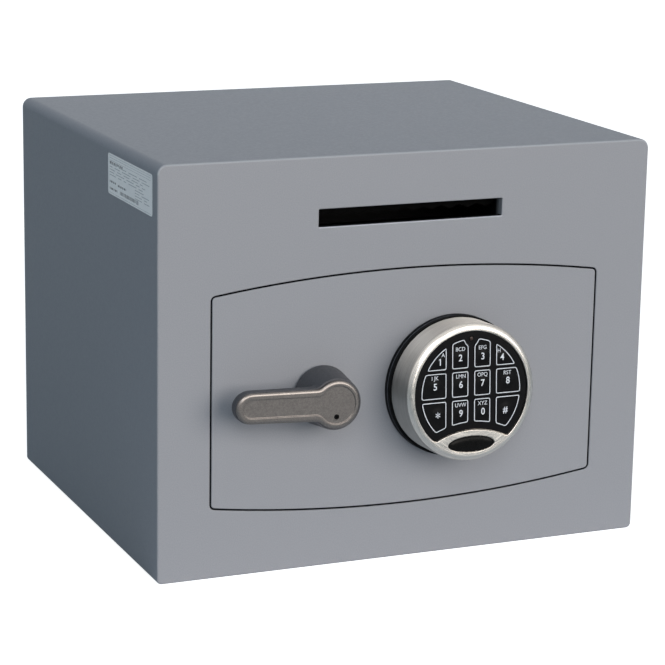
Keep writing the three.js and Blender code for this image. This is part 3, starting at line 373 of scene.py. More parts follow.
def plated_steel(name, light, dark, roughness, grain=(1, 1, 1), cloud=90):
    finish = Finish(name, roughness, 1.0)
    place = finish.stretched(*grain)
    finish.colour(finish.noise(cloud, 4, place), dark, light, 0.3, 0.7)
    finish.gloss(finish.noise(4.5 * cloud, 3, place), roughness - 0.06, roughness + 0.1)
    finish.relief(finish.noise(1500, 2, place), 0.08, 0.03 * MM)
    return finish


def moulded(name, light, dark, roughness, grain=1800, depth=0.02 * MM, sheen=0.2):
    finish = Finish(name, roughness)
    finish.set(Specular_IOR_Level=sheen)
    finish.colour(finish.noise(250, 3), dark, light)
    finish.gloss(finish.noise(600, 2), roughness - 0.02, roughness + 0.02)
    finish.relief(finish.noise(grain, 2), 0.1, depth)
    return finish


def nickel_with_painted_streaks(name, centre, light, dark, roughness, anisotropy):
    """Steel brushed round an axis along Y, whose colour also varies round the axis: brush grain, and painted
    streaks of highlight and shade.
    """
    finish = Finish(name, roughness, 1.0)
    place = finish.round_axis(centre, 1.2, 3500, 3500)
    finish.colour(finish.noise(1, 3, place), dark, light, 0.3, 0.7)
    finish.gloss(finish.noise(1, 2, place), roughness - 0.05, roughness + 0.07)
    finish.relief(finish.noise(1, 2, place), 0.10, 0.03 * MM)
    tangent = finish.add("ShaderNodeTangent", direction_type="RADIAL", axis="Y")[0]
    finish.set(Anisotropic=anisotropy, Anisotropic_Rotation=0.25, Tangent=tangent)
    return finish


def felt(name):
    finish = Finish(name, 0.95)
    finish.colour(finish.noise(1100, 4), (44, 46, 51), (74, 77, 84))
    finish.relief(finish.noise(1600, 4), 0.8, 0.4 * MM)
    finish.set(Sheen_Weight=0.3)
    return finish


def label_film(name, light, dark):
    """Printed film under a glossy clear layer."""
    finish = Finish(name, 0.45)
    finish.colour(finish.noise(120, 3), dark, light)
    finish.relief(finish.noise(2500, 2), 0.1, 0.01 * MM)
    finish.set(Coat_Weight=1, Coat_Roughness=0.2, Coat_IOR=1.8)
    return finish


def wrap(name):
    finish = Finish(name, 0.35)
    finish.colour(finish.noise(60, 2), (40, 43, 50), (52, 55, 63))
    finish.relief(finish.noise(300, 2), 0.2, 0.05 * MM)
    return finish


def arc(x, z, radius, start, end, steps):
    angles = (start + (end - start) * i / steps for i in range(steps + 1))
    return [(x + radius * cos(angle), z + radius * sin(angle)) for angle in angles]


def circle(x, z, radius, steps=HOLE_STEPS):
    return arc(x, z, radius, 0, TURN, steps)[:-1]


def rounded_rectangle(left, right, low, high, inset, radius, steps=CORNER_STEPS, low_radius=None):
    """A rectangle moved inwards. Starts at the right side's top corner, ends at its bottom corner."""
    left, right, low, high = left + inset, right - inset, low + inset, high - inset
    foot = low_radius or radius
    return [
        *arc(right - radius, high - radius, radius, 0, pi / 2, steps),
        *arc(left + radius, high - radius, radius, pi / 2, pi, steps),
        *arc(left + foot, low + foot, foot, pi, 1.5 * pi, steps),
        *arc(right - foot, low + foot, foot, 1.5 * pi, TURN, steps),
    ]


def edge_profile(edge, other, radius, steps=EDGE_STEPS):
    """(inset, depth) steps of a quarter round from a face's edge to the side that leads away from it."""
    inward = 1 if other > edge else -1
    turns = [pi / 2 * i / steps for i in range(steps + 1)]
    return [(radius * (1 - sin(turn)), edge + inward * radius * (1 - cos(turn))) for turn in turns]


def eased(points, radius):
    """Rounds the corners of a line of points, which keeps its ends."""
    line = [points[0]]
    for behind, point, ahead in zip(points, points[1:], points[2:]):
        corner = Vector(point)
        back = Vector(behind) - corner
        onward = Vector(ahead) - corner
        start = corner + back.normalized() * min(radius, back.length / 2)
        end = corner + onward.normalized() * min(radius, onward.length / 2)
        for k in range(EASE_STEPS + 1):
            t = k / EASE_STEPS
            line.append(tuple(start * (1 - t) ** 2 + corner * 2 * t * (1 - t) + end * t * t))
    return [*line, points[-1]]


def resampled(points):
    """A closed line's points at an even spacing."""
    corners = [Vector(p) for p in points]
    ends = corners[1:] + corners[:1]
    lengths = [(b - a).length for a, b in zip(corners, ends)]
    total = sum(lengths)
    count = round(total / KEY_SPACING)
    line = []
    side = 0
    before = 0.0
    for i in range(count):
        reach = total * i / count
        while before + lengths[side] < reach:
            before += lengths[side]
            side += 1
        share = (reach - before) / lengths[side]
        line.append(corners[side].lerp(ends[side], share))
    return line


def softened(points):
    """A closed line whose corners are rounded by averaging each point with its neighbours."""
    line = resampled(points)
    window = round(KEY_SOFTNESS / KEY_SPACING)
    count = len(line)
    for _ in range(2):
        line = [
            sum((line[(i + k) % count] for k in range(-window, window + 1)), Vector((0, 0)))
            / (2 * window + 1)
            for i in range(count)
        ]
    return [tuple(point) for point in line]


def inset_line(points, inset):
    """A closed line moved inwards along its own normals."""
    count = len(points)
    area = sum(points[i - 1][0] * points[i][1] - points[i][0] * points[i - 1][1] for i in range(count))
    reach = inset if area > 0 else -inset
    moved = []
    for i, (x, z) in enumerate(points):
        (x0, z0), (x1, z1) = points[i - 1], points[(i + 1) % count]
        length = hypot(x1 - x0, z1 - z0)
        moved.append((x - reach * (z1 - z0) / length, z + reach * (x1 - x0) / length))
    return moved


class Form:
    """The points and faces of one piece, with a finish number for each face."""

    def __init__(self, matrix=None):
        self.matrix = matrix or Matrix.Identity(4)
        self.points = []
        self.faces = []
        self.finishes = []

    def loop(self, points):
        start = len(self.points)
        self.points.extend(self.matrix @ Vector(p) for p in points)
        return list(range(start, len(self.points)))

    def flat(self, outline, depth):
        """A loop drawn in X and Z at one depth."""
        return self.loop([(x, depth, z) for x, z in outline])

    def level(self, outline, height):
        """A loop drawn in X and Y at one height."""
        return self.loop([(x, y, height) for x, y in outline])

    def rims(self, outline, profile):
        """A loop for each (inset, depth) of a profile, as outline(inset) draws it."""
        return [self.flat(outline(inset), depth) for inset, depth in profile]

    def discs(self, x, z, profile, steps=HOLE_STEPS):
        """A circle for each (radius, depth) of a profile, round one point."""
        return [self.flat(circle(x, z, radius, steps), depth) for radius, depth in profile]

    def face(self, corners, finish=0):
        self.faces.append(list(corners))
        self.finishes.append(finish)

    def band(self, first, second, finish=0, gaps=()):
        count = len(first)
        for i in range(count):
            if i not in gaps:
                j = (i + 1) % count
                self.face((first[i], first[j], second[j], second[i]), finish)

    def parted(self, first, second, finish, chosen, other):
        """A band whose chosen places have another finish."""
        self.band(first, second, finish, chosen)
        self.band(first, second, other, set(range(len(first))) - chosen)

    def skin(self, loops, finish=0):
        for first, second in zip(loops, loops[1:]):
            self.band(first, second, finish)

    def fill(self, outer, *holes, finish=0):
        """Closes a flat area inside one loop, less the loops of its holes."""
        if not holes:
            self.face(outer, finish)
            return
        loops = [outer, *holes]
        order = [i for loop in loops for i in loop]
        areas = [[self.points[i] for i in loop] for loop in loops]
        for corners in geometry.tessellate_polygon(areas):
            self.face([order[i] for i in corners], finish)

    def shell(self, loops, first_holes=(), last_holes=()):
        """Joins loops, and closes the first and the last, less the loops of their holes."""
        self.skin(loops)
        self.fill(loops[0], *first_holes)
        self.fill(loops[-1], *last_holes)

    def slab(self, near, far, finish):
        """A closed block between two loops."""
        self.fill(near, finish=finish)
        self.band(near, far, finish)
        self.fill(far, finish=finish)

    def bore(self, outline, near, far, place=None):
        """The wall of a straight hole between two depths. Returns its loops there."""
        place = place or self.flat
        ends = place(outline, near), place(outline, far)
        self.band(*ends)
        return ends

    def bores(self, outlines, near, far, place=None):
        """Several holes between two depths: their loops at the one, and at the other."""
        return [list(side) for side in zip(*(self.bore(line, near, far, place) for line in outlines))]

    def turned(self, profile, axis, centre, steps=TURNED_STEPS):
        """Turns (radius, distance) points about an axis through a centre. The ends lie on the axis."""
        def on_axis(radius, along, angle):
            u = radius * cos(angle)
            v = radius * sin(angle)
            offset = {"X": (along, u, v), "Y": (u, along, v), "Z": (u, v, along)}[axis]
            return tuple(a + b for a, b in zip(centre, offset))

        loops = [self.loop([on_axis(radius, along, TURN * i / steps) for i in range(steps)])
                 for radius, along in profile[1:-1]]
        self.skin(loops)
        for end, loop in ((profile[0], loops[0]), (profile[-1], loops[-1])):
            tip = self.loop([on_axis(0, end[1], 0)])[0]
            for i in range(steps):
                self.face((loop[i], loop[(i + 1) % steps], tip))


bodies = {node: body for body, nodes in frame["record"]["behaviour"]["bodies"].items() for node in nodes}


def show(name, mesh, nodes, crease, bevel=0.0):
    """Puts a mesh in the scene as a piece that stands for CAD nodes and rides with them."""
    shape = bmesh.new()
    shape.from_mesh(mesh)
    bmesh.ops.remove_doubles(shape, verts=shape.verts, dist=WELD)
    bmesh.ops.recalc_face_normals(shape, faces=shape.faces)
    shape.to_mesh(mesh)
    shape.free()
    mesh.shade_smooth()
    mesh.set_sharp_from_angle(angle=radians(crease))
    piece = bpy.data.objects.new(name, mesh)
    bpy.context.scene.collection.objects.link(piece)
    if bevel:
        rounding = piece.modifiers.new("broken_edges", "BEVEL")
        rounding.width = bevel
        rounding.segments = 3
        rounding.limit_method = "ANGLE"
        rounding.angle_limit = radians(crease)
        rounding.use_clamp_overlap = True
    even = piece.modifiers.new("even_normals", "WEIGHTED_NORMAL")
    even.keep_sharp = True
    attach(piece, bodies[nodes[0]])
    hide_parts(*nodes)


def build(name, form, nodes, *finishes):
    """Shows a form in the finishes that its faces' numbers stand for."""
    mesh = bpy.data.meshes.new(name)
    mesh.from_pydata(form.points, [], form.faces)
    for finish in finishes:
        mesh.materials.append(finish.material)
    mesh.polygons.foreach_set("material_index", form.finishes)
    show(name, mesh, nodes, CREASE_DEGREES)


def dress(name, node, finish, edge):
    """A copy of a CAD piece whose flat faces are whole again and whose edges are broken."""
    mesh = frame["nodes"][node].data.copy()
    mesh.name = name
    mesh.materials.clear()
    mesh.materials.append(finish.material)
    shape = bmesh.new()
    shape.from_mesh(mesh)
    bmesh.ops.remove_doubles(shape, verts=shape.verts, dist=WELD)
    bmesh.ops.dissolve_limit(
        shape, angle_limit=radians(FLAT_DEGREES), verts=shape.verts, edges=shape.edges)
    shape.to_mesh(mesh)
    shape.free()
    show(name, mesh, [node], DRESSED_CREASE_DEGREES, edge)


# Places that come from the frame
shell_low, shell_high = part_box("body_shell")
front_low, front_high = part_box("front_frame")
back_low, back_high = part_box("back_panel")
door_low, door_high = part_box("door_plate")
ring_low, ring_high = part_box("keypad_base_ring")
FRONT = front_low.y
BACK = back_high.y
PLATE_BACK = front_high.y
PANEL_FRONT = back_low.y
HALF_WIDTH = shell_high.x
HEIGHT = shell_high.z
DOOR_BACK = FRONT + DOOR_SHEET
DOOR_HALF_WIDTH = door_high.x
DOOR_MIDDLE = (door_low.z + door_high.z) / 2
DOOR_SIDE_HALF = (door_high.z - door_low.z) / 2 - DOOR_RISE
KEYPAD_X = (ring_low.x + ring_high.x) / 2
KEYPAD_Z = (ring_low.z + ring_high.z) / 2
RING_RADIUS = (ring_high.x - ring_low.x) / 2
hub = Vector(next(j for j in frame["joints"] if j["name"] == "handle_turn")["pos_m"])

keypad_matrix = Matrix.Translation((KEYPAD_X, FRONT, KEYPAD_Z))
face_matrix = (
    Matrix.Translation((KEYPAD_X, FRONT - KEYPAD_STANDOUT, KEYPAD_Z))
    @ Matrix.Rotation(-radians(KEYPAD_TILT_DEGREES), 4, "X"))
handle_matrix = (
    Matrix.Translation((hub.x, FRONT, hub.z))
    @ Matrix.Rotation(radians(HANDLE_TILT_DEGREES), 4, "Y"))


def own_box(node, matrix):
    """A CAD piece's box in the coordinates of a tilted group."""
    back = matrix.inverted()
    points = [back @ v.co for v in frame["nodes"][node].data.vertices]
    return [Vector(limit(p[i] for p in points) for i in range(3)) for limit in (min, max)]


lever_low, lever_high = own_box("handle_faceplate", handle_matrix)
HANDLE_STANDOUT = -lever_low.y
FACE_SHEET = lever_high.y - lever_low.y
LEVER_TIP = -lever_low.x
HUB_RADIUS = lever_high.x
KEYPAD_RADIUS = own_box("keypad_housing", face_matrix)[1].x
badge_low, badge_high = own_box("keypad_badge", face_matrix)
BADGE_BELOW = -(badge_low.z + badge_high.z) / 2
BADGE_HALF_WIDTH = badge_high.x
BADGE_HALF_HEIGHT = (badge_high.z - badge_low.z) / 2
lamp_low, lamp_high = own_box("keypad_lamp", face_matrix)
LAMP_ABOVE = (lamp_low.z + lamp_high.z) / 2
LAMP_RADIUS = lamp_high.x

paint = powder_coat("silver_grey_powder_coat", (154, 155, 159), (146, 147, 151))
# A lighter paint on the rounded lower lip of the slot: a painted highlight.
paint_lip_highlight = powder_coat("painted_highlight_on_slot_lip", (188, 190, 196), (178, 180, 186), 0.36)
# A lighter paint along the top of the case's rounded front edge: a painted highlight.
paint_edge_highlight = powder_coat("painted_highlight_on_front_edge", (166, 168, 172), (158, 160, 164), 0.4)
# Near-black paint on the openings' inner walls, the stop frame and the baffle: painted shade that darkens the door
# gap and the slot.
slot_shade_paint = powder_coat("painted_shade_inner_coat", (13, 13, 15), (9, 9, 11))
# Grey near the front plate, darkening deeper into the chute: painted shade.
chute_shade_paint = shade_fading_coat("chute_painted_shade", (150, 151, 154), (11, 11, 13))
zinc = plated_steel("zinc_plate", (196, 194, 184), (168, 167, 160), 0.34)
ground = plated_steel("ground_steel", (214, 214, 212), (190, 190, 188), 0.2, (1, 1, 8))
# The rolled rim's nickel, with mild painted highlight streaks round the axis.
brushed_and_streaked = nickel_with_painted_streaks(
    "brushed_nickel_painted_streaks", (KEYPAD_X, 0, KEYPAD_Z), (216, 212, 206), (202, 197, 190), 0.25, 0.4)
# A darker copy of the same nickel for the side, as painted shade. Its wider colour range paints highlight streaks
# round it.
side_nickel_shaded = nickel_with_painted_streaks(
    "nickel_side_painted_shade", (KEYPAD_X, 0, KEYPAD_Z), (186, 184, 181), (146, 144, 141), 0.56, 0.95)
nickel = plated_steel("satin_nickel_casting", (135, 130, 126), (117, 112, 109), 0.31, cloud=900)
casting = powder_coat("dark_casting", (91, 91, 94), (80, 80, 83), 0.5)
screw_black = plated_steel("blackened_screw", (30, 30, 32), (18, 18, 20), 0.4)
# The comb is black. Its near-black with hardly any sheen also paints the shade inside the slot.
comb_black_and_shade = powder_coat("black_comb_with_painted_shade", (6, 6, 6), (4, 4, 4), 0.6)
comb_black_and_shade.set(Specular_IOR_Level=0.03)
black = moulded("black_plastic", (12, 12, 14), (9, 9, 11), 0.3, sheen=0.1)
key_black = moulded("key_plastic", (14, 14, 15), (12, 12, 13), 0.24, depth=0.008 * MM, sheen=0.11)
print_white = moulded("printed_white", (226, 229, 233), (212, 215, 220), 0.5)
gloss_black = moulded("gloss_black", (14, 13, 12), (10, 9, 9), 0.18, sheen=0.12)
rubber = moulded("black_rubber", (15, 16, 17), (11, 12, 13), 0.5, 900, 0.05 * MM, 0.08)
# Pale grey for the band round the ring's groove: a painted highlight on the black rubber.
groove_painted_highlight = moulded("groove_painted_highlight", (112, 114, 120), (96, 98, 104), 0.5, 900, 0.05 * MM, 0.08)
lamp_red = moulded("lamp_lens", (74, 60, 54), (58, 46, 42), 0.2)
board_green = moulded("solder_mask", (38, 104, 68), (28, 84, 54), 0.3)
battery_wrap = wrap("battery_wrap")
brass = plated_steel("brass", (200, 168, 104), (170, 138, 80), 0.3)
mat_felt = felt("grey_felt")
paper = label_film("label_film", (252, 250, 245), (246, 244, 239))
paper.set(Sheen_Weight=1, Sheen_Roughness=0.4)
ink = label_film("label_ink", (84, 88, 94), (72, 76, 82))
fine_ink = label_film("label_fine_ink", (176, 178, 180), (160, 163, 166))


def case_outline(inset):
    return rounded_rectangle(
        -HALF_WIDTH, HALF_WIDTH, 0, HEIGHT, inset, RIDGE_ROUND - inset, RIDGE_STEPS,
        max(FLOOR_RIDGE_ROUND - inset, FLOOR_BEND_ROUND))


def door_outline(inset):
    """The door's barrel shape: straight sides, bowed top and bottom, and small corners."""
    corner = max(DOOR_CORNER - inset, DOOR_CORNER / 3)
    bow_radius = (DOOR_HALF_WIDTH ** 2 + DOOR_RISE ** 2) / (2 * DOOR_RISE)
    bow_centre = DOOR_SIDE_HALF + DOOR_RISE - bow_radius
    reach = bow_radius - inset
    corner_x = DOOR_HALF_WIDTH - inset - corner
    corner_z = bow_centre + sqrt((reach - corner) ** 2 - corner_x ** 2)
    lean = atan2(corner_x, corner_z - bow_centre)
    top = [
        *arc(corner_x, corner_z, corner, 0, pi / 2 - lean, CORNER_STEPS),
        *arc(0, bow_centre, reach, pi / 2 - lean, pi / 2 + lean, BOW_STEPS)[1:],
        *arc(-corner_x, corner_z, corner, pi / 2 + lean, pi, CORNER_STEPS)[1:],
    ]
    bottom = [(-x, -z) for x, z in top]
    return [(x, z + DOOR_MIDDLE) for x, z in top + bottom]


def slot_outline(inset):
    top = HEIGHT - SLOT_BELOW_TOP
    return rounded_rectangle(
        -SLOT_WIDTH / 2, SLOT_WIDTH / 2, top - SLOT_HEIGHT, top, inset, SLOT_CORNER - inset)


def anchor_rims(wall, radius):
    """Circles round a wall's two anchor holes, drawn in the wall's own plane."""
    places = [middle_of(f"anchor_plug_{wall}_{side}")[0] for side in ("left", "right")]
    return [circle(place.x, place.y if wall == "floor" else place.z, radius) for place in places]


def make_case():
    """The welded case: wrapped sides, front plate and back, with their seams filled and painted."""
    # Finishes: plain paint, the slot lip's painted highlight, the near-black painted shade of the openings' walls,
    # the front edge's painted highlight, and the chute's fading painted shade.
    plain, lip_highlight, inner, top_edge_highlight, chute = range(5)
    form = Form()
    outer = form.rims(case_outline, edge_profile(FRONT, BACK, CASE_EDGE_ROUND))
    rear = form.rims(case_outline, edge_profile(BACK, FRONT, CASE_EDGE_ROUND))
    for first, second in zip(outer, outer[1:]):
        # The upper part of the front's rounded edge takes the lighter paint, as a painted highlight along the top.
        above = {i for i in range(len(first)) if form.points[first[i]].z > HEIGHT - RIDGE_ROUND}
        form.parted(first, second, plain, above, top_edge_highlight)
    form.skin(rear)

    # The floor has a hole for each anchor, so its long face is filled round them
    floor = 3 * (RIDGE_STEPS + 1) - 1
    form.band(outer[-1], rear[-1], gaps=(floor,))
    inner_front = form.flat(case_outline(SHEET), PLATE_BACK)
    inner_back = form.flat(case_outline(SHEET), PANEL_FRONT)
    form.band(inner_front, inner_back, gaps=(floor,))
    low_holes, high_holes = form.bores(anchor_rims("floor", PLUG_HOLE_RADIUS), 0, SHEET, form.level)
    for near, far, holes in ((outer[-1], rear[-1], low_holes), (inner_front, inner_back, high_holes)):
        form.fill((near[floor], near[floor + 1], far[floor + 1], far[floor]), *holes)

    # Front plate
    openings = []
    for outline in (lambda inset: door_outline(inset - DOOR_GAP), slot_outline):
        rim = [form.flat(outline(-inset), depth)
               for inset, depth in edge_profile(FRONT, BACK, OPENING_EDGE_ROUND)]
        rim.append(form.flat(outline(0), PLATE_BACK))
        lit_lip, ends = set(), set()
        if outline is slot_outline:
            sides = range(len(rim[0]))
            # The rounded lower lip of the slot takes the lighter paint, a painted highlight.
            lit_lip = set(sides[SLOT_FOOT_FROM:SLOT_FOOT_TO])
            ends = {i for i in sides if abs(form.points[rim[-1][i]].x) > SLOT_END}
        for first, second in zip(rim[:-2], rim[1:-1]):
            form.parted(first, second, plain, lit_lip, lip_highlight)
        # The inner walls of the openings take the near-black painted shade; the slot's ends take the chute's
        # fading coat.
        form.parted(rim[-2], rim[-1], inner, ends, chute)
        openings.append(rim)
    form.fill(outer[0], *(rim[0] for rim in openings))
    form.fill(inner_front, *(rim[-1] for rim in openings))

    # Back panel
    near_holes, far_holes = form.bores(anchor_rims("back", PLUG_HOLE_RADIUS), PANEL_FRONT, BACK)
    form.fill(rear[0], *far_holes)
    form.fill(inner_back, *near_holes)
    build("painted_case", form, ["body_shell", "front_frame", "back_panel"],
          paint, paint_lip_highlight, slot_shade_paint, paint_edge_highlight, chute_shade_paint)


def make_door():
    """The door's plate with tapered sides, its two holes, and a post for each screw of the cover."""
    form = Form()
    rings = form.rims(door_outline, [*edge_profile(FRONT, BACK, DOOR_EDGE_ROUND), (DOOR_TAPER, DOOR_BACK)])
    front_holes, back_holes = form.bores([
        circle(hub.x, hub.z, SPINDLE_HOLE_RADIUS),
        circle(KEYPAD_X, KEYPAD_Z + CABLE_ABOVE_KEYPAD, CABLE_HOLE_RADIUS),
    ], FRONT, DOOR_BACK)
    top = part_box("door_cover")[1].y - COVER_SHEET
    for screw in COVER_SCREWS:
        middle = middle_of(screw)[0]
        post = form.discs(middle.x, middle.z, (
            (POST_RADIUS, DOOR_BACK), (POST_RADIUS, top),
            (POST_BORE_RADIUS, top), (POST_BORE_RADIUS, top - POST_BORE_DEPTH)))
        form.skin(post)
        form.fill(post[-1])
        back_holes.append(post[0])
    form.shell(rings, front_holes, back_holes)
    build("door_leaf", form, ["door_plate"], paint)


def lever(hub_radius, half_width, tip, fillet, taper=LEVER_TAPER):
    """The handle's plan as two runs of points: round the hub, then along the bar and back."""
    reach = sqrt((hub_radius + fillet) ** 2 - (half_width + fillet) ** 2)
    turn = atan2(half_width + fillet, reach)
    round_hub = arc(0, 0, hub_radius, turn - pi, pi - turn, HUB_STEPS)
    above = arc(-reach, half_width + fillet, fillet, -turn, -pi / 2, FILLET_STEPS)[1:]
    end = arc(half_width - tip, 0, half_width, pi / 2, 1.5 * pi, TIP_STEPS)
    below = arc(-reach, -half_width - fillet, fillet, pi / 2, turn, FILLET_STEPS)[:-1]
    bar = [(x, z * (1 - taper * max(0, -reach - x) / (tip - reach))) for x, z in above + end + below]
    return round_hub, bar


def face_line(inset):
    round_hub, bar = lever(
        HUB_RADIUS - inset, LEVER_HALF_WIDTH - inset, LEVER_TIP - inset, HUB_FILLET + inset)
    return round_hub + bar


def panel_line(inset):
    round_hub, bar = lever(
        PANEL_RADIUS - inset, PANEL_HALF_WIDTH - inset, LEVER_TIP - PANEL_INSET - inset,
        HUB_FILLET + inset, 0)
    return round_hub + bar


def face_screw_rim(radius, steps=HOLE_STEPS):
    return circle(0, -FACE_SCREW_BELOW_AXIS, radius, steps)


def make_handle_face():
    """The bright cast face: a rolled rim round a sunken panel, and the hole of its screw."""
    form = Form(handle_matrix)
    front = -HANDLE_STANDOUT
    back = front + FACE_SHEET
    panel = front + PANEL_DEPTH
    slope = radians(RIM_SLOPE_DEGREES)
    radius = RIM_ROUND / sin(slope)
    turns = [slope * i / RIM_STEPS for i in range(RIM_STEPS, -1, -1)]
    rim = [(RIM_ROUND - radius * sin(turn), front + radius * (1 - cos(turn))) for turn in turns]
    wall = eased([
        (-PANEL_WALL - PANEL_LAND, front), (-PANEL_WALL, front), (0, panel), (PANEL_FOOT, panel),
    ], PANEL_EASE)
    rings = form.rims(face_line, [(0, back), *rim]) + form.rims(panel_line, wall)
    panel_hole, back_hole = form.bore(face_screw_rim(FACE_SCREW_RADIUS + SEAT_GAP), panel, back)
    form.shell(rings, [back_hole], [panel_hole])
    build("handle_face", form, ["handle_faceplate"], nickel)


def make_handle_body():
    """The dark casting behind the face: the bar and the boss that reaches down to the door."""
    form = Form(handle_matrix)
    front = FACE_SHEET + FACE_GAP - HANDLE_STANDOUT
    back = BODY_THICKNESS - HANDLE_STANDOUT

    def boss_radius(depth):
        share = (depth - front) / (-BOSS_DOOR_GAP - front)
        return BOSS_FRONT_RADIUS + share * (BOSS_BASE_RADIUS - BOSS_FRONT_RADIUS)

    profile = edge_profile(front, back, BODY_MARGIN)
    profile += reversed(edge_profile(back, front, BODY_EDGE_ROUND))
    runs = [lever(boss_radius(depth), LEVER_HALF_WIDTH + BODY_MARGIN - inset,
                  LEVER_TIP + BODY_MARGIN - inset, HUB_FILLET + inset) for inset, depth in profile]
    rings = [form.flat(a + b, depth) for (a, b), (_, depth) in zip(runs, profile)]
    form.skin(rings)

    # The boss goes on behind the bar, where an arc closes its collar
    round_hub = runs[-1][0]
    start = atan2(round_hub[-1][1], round_hub[-1][0])
    closing = arc(0, 0, boss_radius(back), start, TURN - start, FILLET_STEPS)[1:-1]
    left = form.flat(closing, back)
    last = rings[-1]
    count = len(round_hub)
    form.fill([last[count - 1], *last[count:], last[0], *reversed(left)])
    angles = [atan2(z, x) for x, z in round_hub + closing]
    boss = [last[:count] + left]
    for inset, depth in reversed(edge_profile(-BOSS_DOOR_GAP, back, BODY_EDGE_ROUND)):
        reach = boss_radius(depth) - inset
        boss.append(form.flat([(reach * cos(angle), reach * sin(angle)) for angle in angles], depth))
    form.skin(boss)
    mouth, floor = form.bore(circle(0, 0, SPINDLE_RADIUS + SEAT_GAP), -BOSS_DOOR_GAP, -SPINDLE_SOCKET)
    form.fill(boss[-1], mouth)
    form.fill(floor)

    screw_end = FACE_SCREW_RECESS + FACE_SCREW_LENGTH - HANDLE_STANDOUT
    mouth, floor = form.bore(face_screw_rim(FACE_SCREW_RADIUS + SEAT_GAP), front, screw_end)
    form.fill(floor)
    form.fill(rings[0], mouth)
    build("handle_casting", form, ["handle_lever"], casting)


def make_face_screw():
    """A set screw with a chamfered end and a six-sided socket."""
    form = Form(handle_matrix)
    top = FACE_SCREW_RECESS - HANDLE_STANDOUT
    rings = form.discs(0, -FACE_SCREW_BELOW_AXIS, (
        (FACE_SCREW_RADIUS - FACE_SCREW_CHAMFER, top),
        (FACE_SCREW_RADIUS, top + FACE_SCREW_CHAMFER),
        (FACE_SCREW_RADIUS, top + FACE_SCREW_LENGTH - SEAT_GAP),
    ), SMALL_STEPS)
    mouth, floor = form.bore(face_screw_rim(FACE_SCREW_SOCKET, 6), top, top + FACE_SCREW_SOCKET)
    form.shell(rings, [mouth])
    form.fill(floor)
    build("handle_socket_screw", form, ["handle_face_screw"], screw_black)


def face_outline(grow):
    """The keypad's black face: a circle cut at the bottom by an arc that bows upwards."""
    radius = FACE_RADIUS + grow
    arc_radius = FACE_ARC_RADIUS - grow
    arc_z = -FACE_ARC_BELOW - FACE_ARC_RADIUS
    corner = max(FACE_CORNER + grow, FACE_CORNER / 4)
    to_corner = radius - corner
    to_arc = arc_radius + corner
    corner_z = (to_corner ** 2 - to_arc ** 2 + arc_z ** 2) / (2 * arc_z)
    corner_x = sqrt(to_corner ** 2 - corner_z ** 2)
    out_angle = atan2(corner_z, corner_x)
    in_angle = atan2(arc_z - corner_z, -corner_x)
    arc_angle = atan2(corner_z - arc_z, corner_x)
    return [
        *arc(0, 0, radius, out_angle, pi - out_angle, KEYPAD_STEPS),
        *arc(-corner_x, corner_z, corner, pi - out_angle, pi - in_angle, CORNER_STEPS)[1:],
        *arc(0, arc_z, arc_radius, pi - arc_angle, arc_angle, BOW_STEPS)[1:],
        *arc(corner_x, corner_z, corner, in_angle, out_angle, CORNER_STEPS)[1:-1],
    ]


def badge_outline(grow):
    half_width = BADGE_HALF_WIDTH + grow
    half_height = BADGE_HALF_HEIGHT + grow
    return [(half_width * x, half_height * z - BADGE_BELOW) for x, z in circle(0, 0, 1)]


def keypad_drop(depth):
    """How far the leaning keypad's middle lies below its face's middle, at this depth."""
    return (KEYPAD_STANDOUT + depth) * sin(radians(KEYPAD_TILT_DEGREES))


def make_keypad_ring():
    """The black seal ring behind the housing, with a groove round its side whose band is painted pale grey as a
    highlight.
    """
    form = Form(keypad_matrix)
    back = -RING_RIM
    inner = KEYPAD_RADIUS - KEYPAD_WALL
    wide = RING_RADIUS + RING_FLARE
    profile = eased([
        (0, 0),
        (wide, 0),
        (wide, back / 2 + RING_GROOVE / 2),
        (wide - RING_GROOVE, back / 2),
        (wide, back / 2 - RING_GROOVE / 2),
        (wide, back),
        (inner, back),
        (inner, -RING_FLOOR),
        (0, -RING_FLOOR),
    ], RING_EASE)[1:-1]
    rings = [form.flat(circle(0, -RING_DROP - keypad_drop(along), radius, KEYPAD_STEPS), along)
             for radius, along in profile]
    grooved = [i for i, (radius, along) in enumerate(profile)
               if abs(along - back / 2) < RING_GROOVE / 2 and inner < radius < wide - RING_GROOVE / 5]
    form.skin(rings[:grooved[0] + 1])
    # The groove's band takes the pale grey, a painted highlight.
    form.skin(rings[grooved[0]:grooved[-1] + 1], 1)
    form.skin(rings[grooved[-1]:])
    near, far = form.bore(circle(0, CABLE_ABOVE_KEYPAD, CABLE_HOLE_RADIUS), 0, -RING_FLOOR)
    form.fill(rings[0], near)
    form.fill(rings[-1], far)
    build("keypad_seal_ring", form, ["keypad_base_ring"], rubber, groove_painted_highlight)


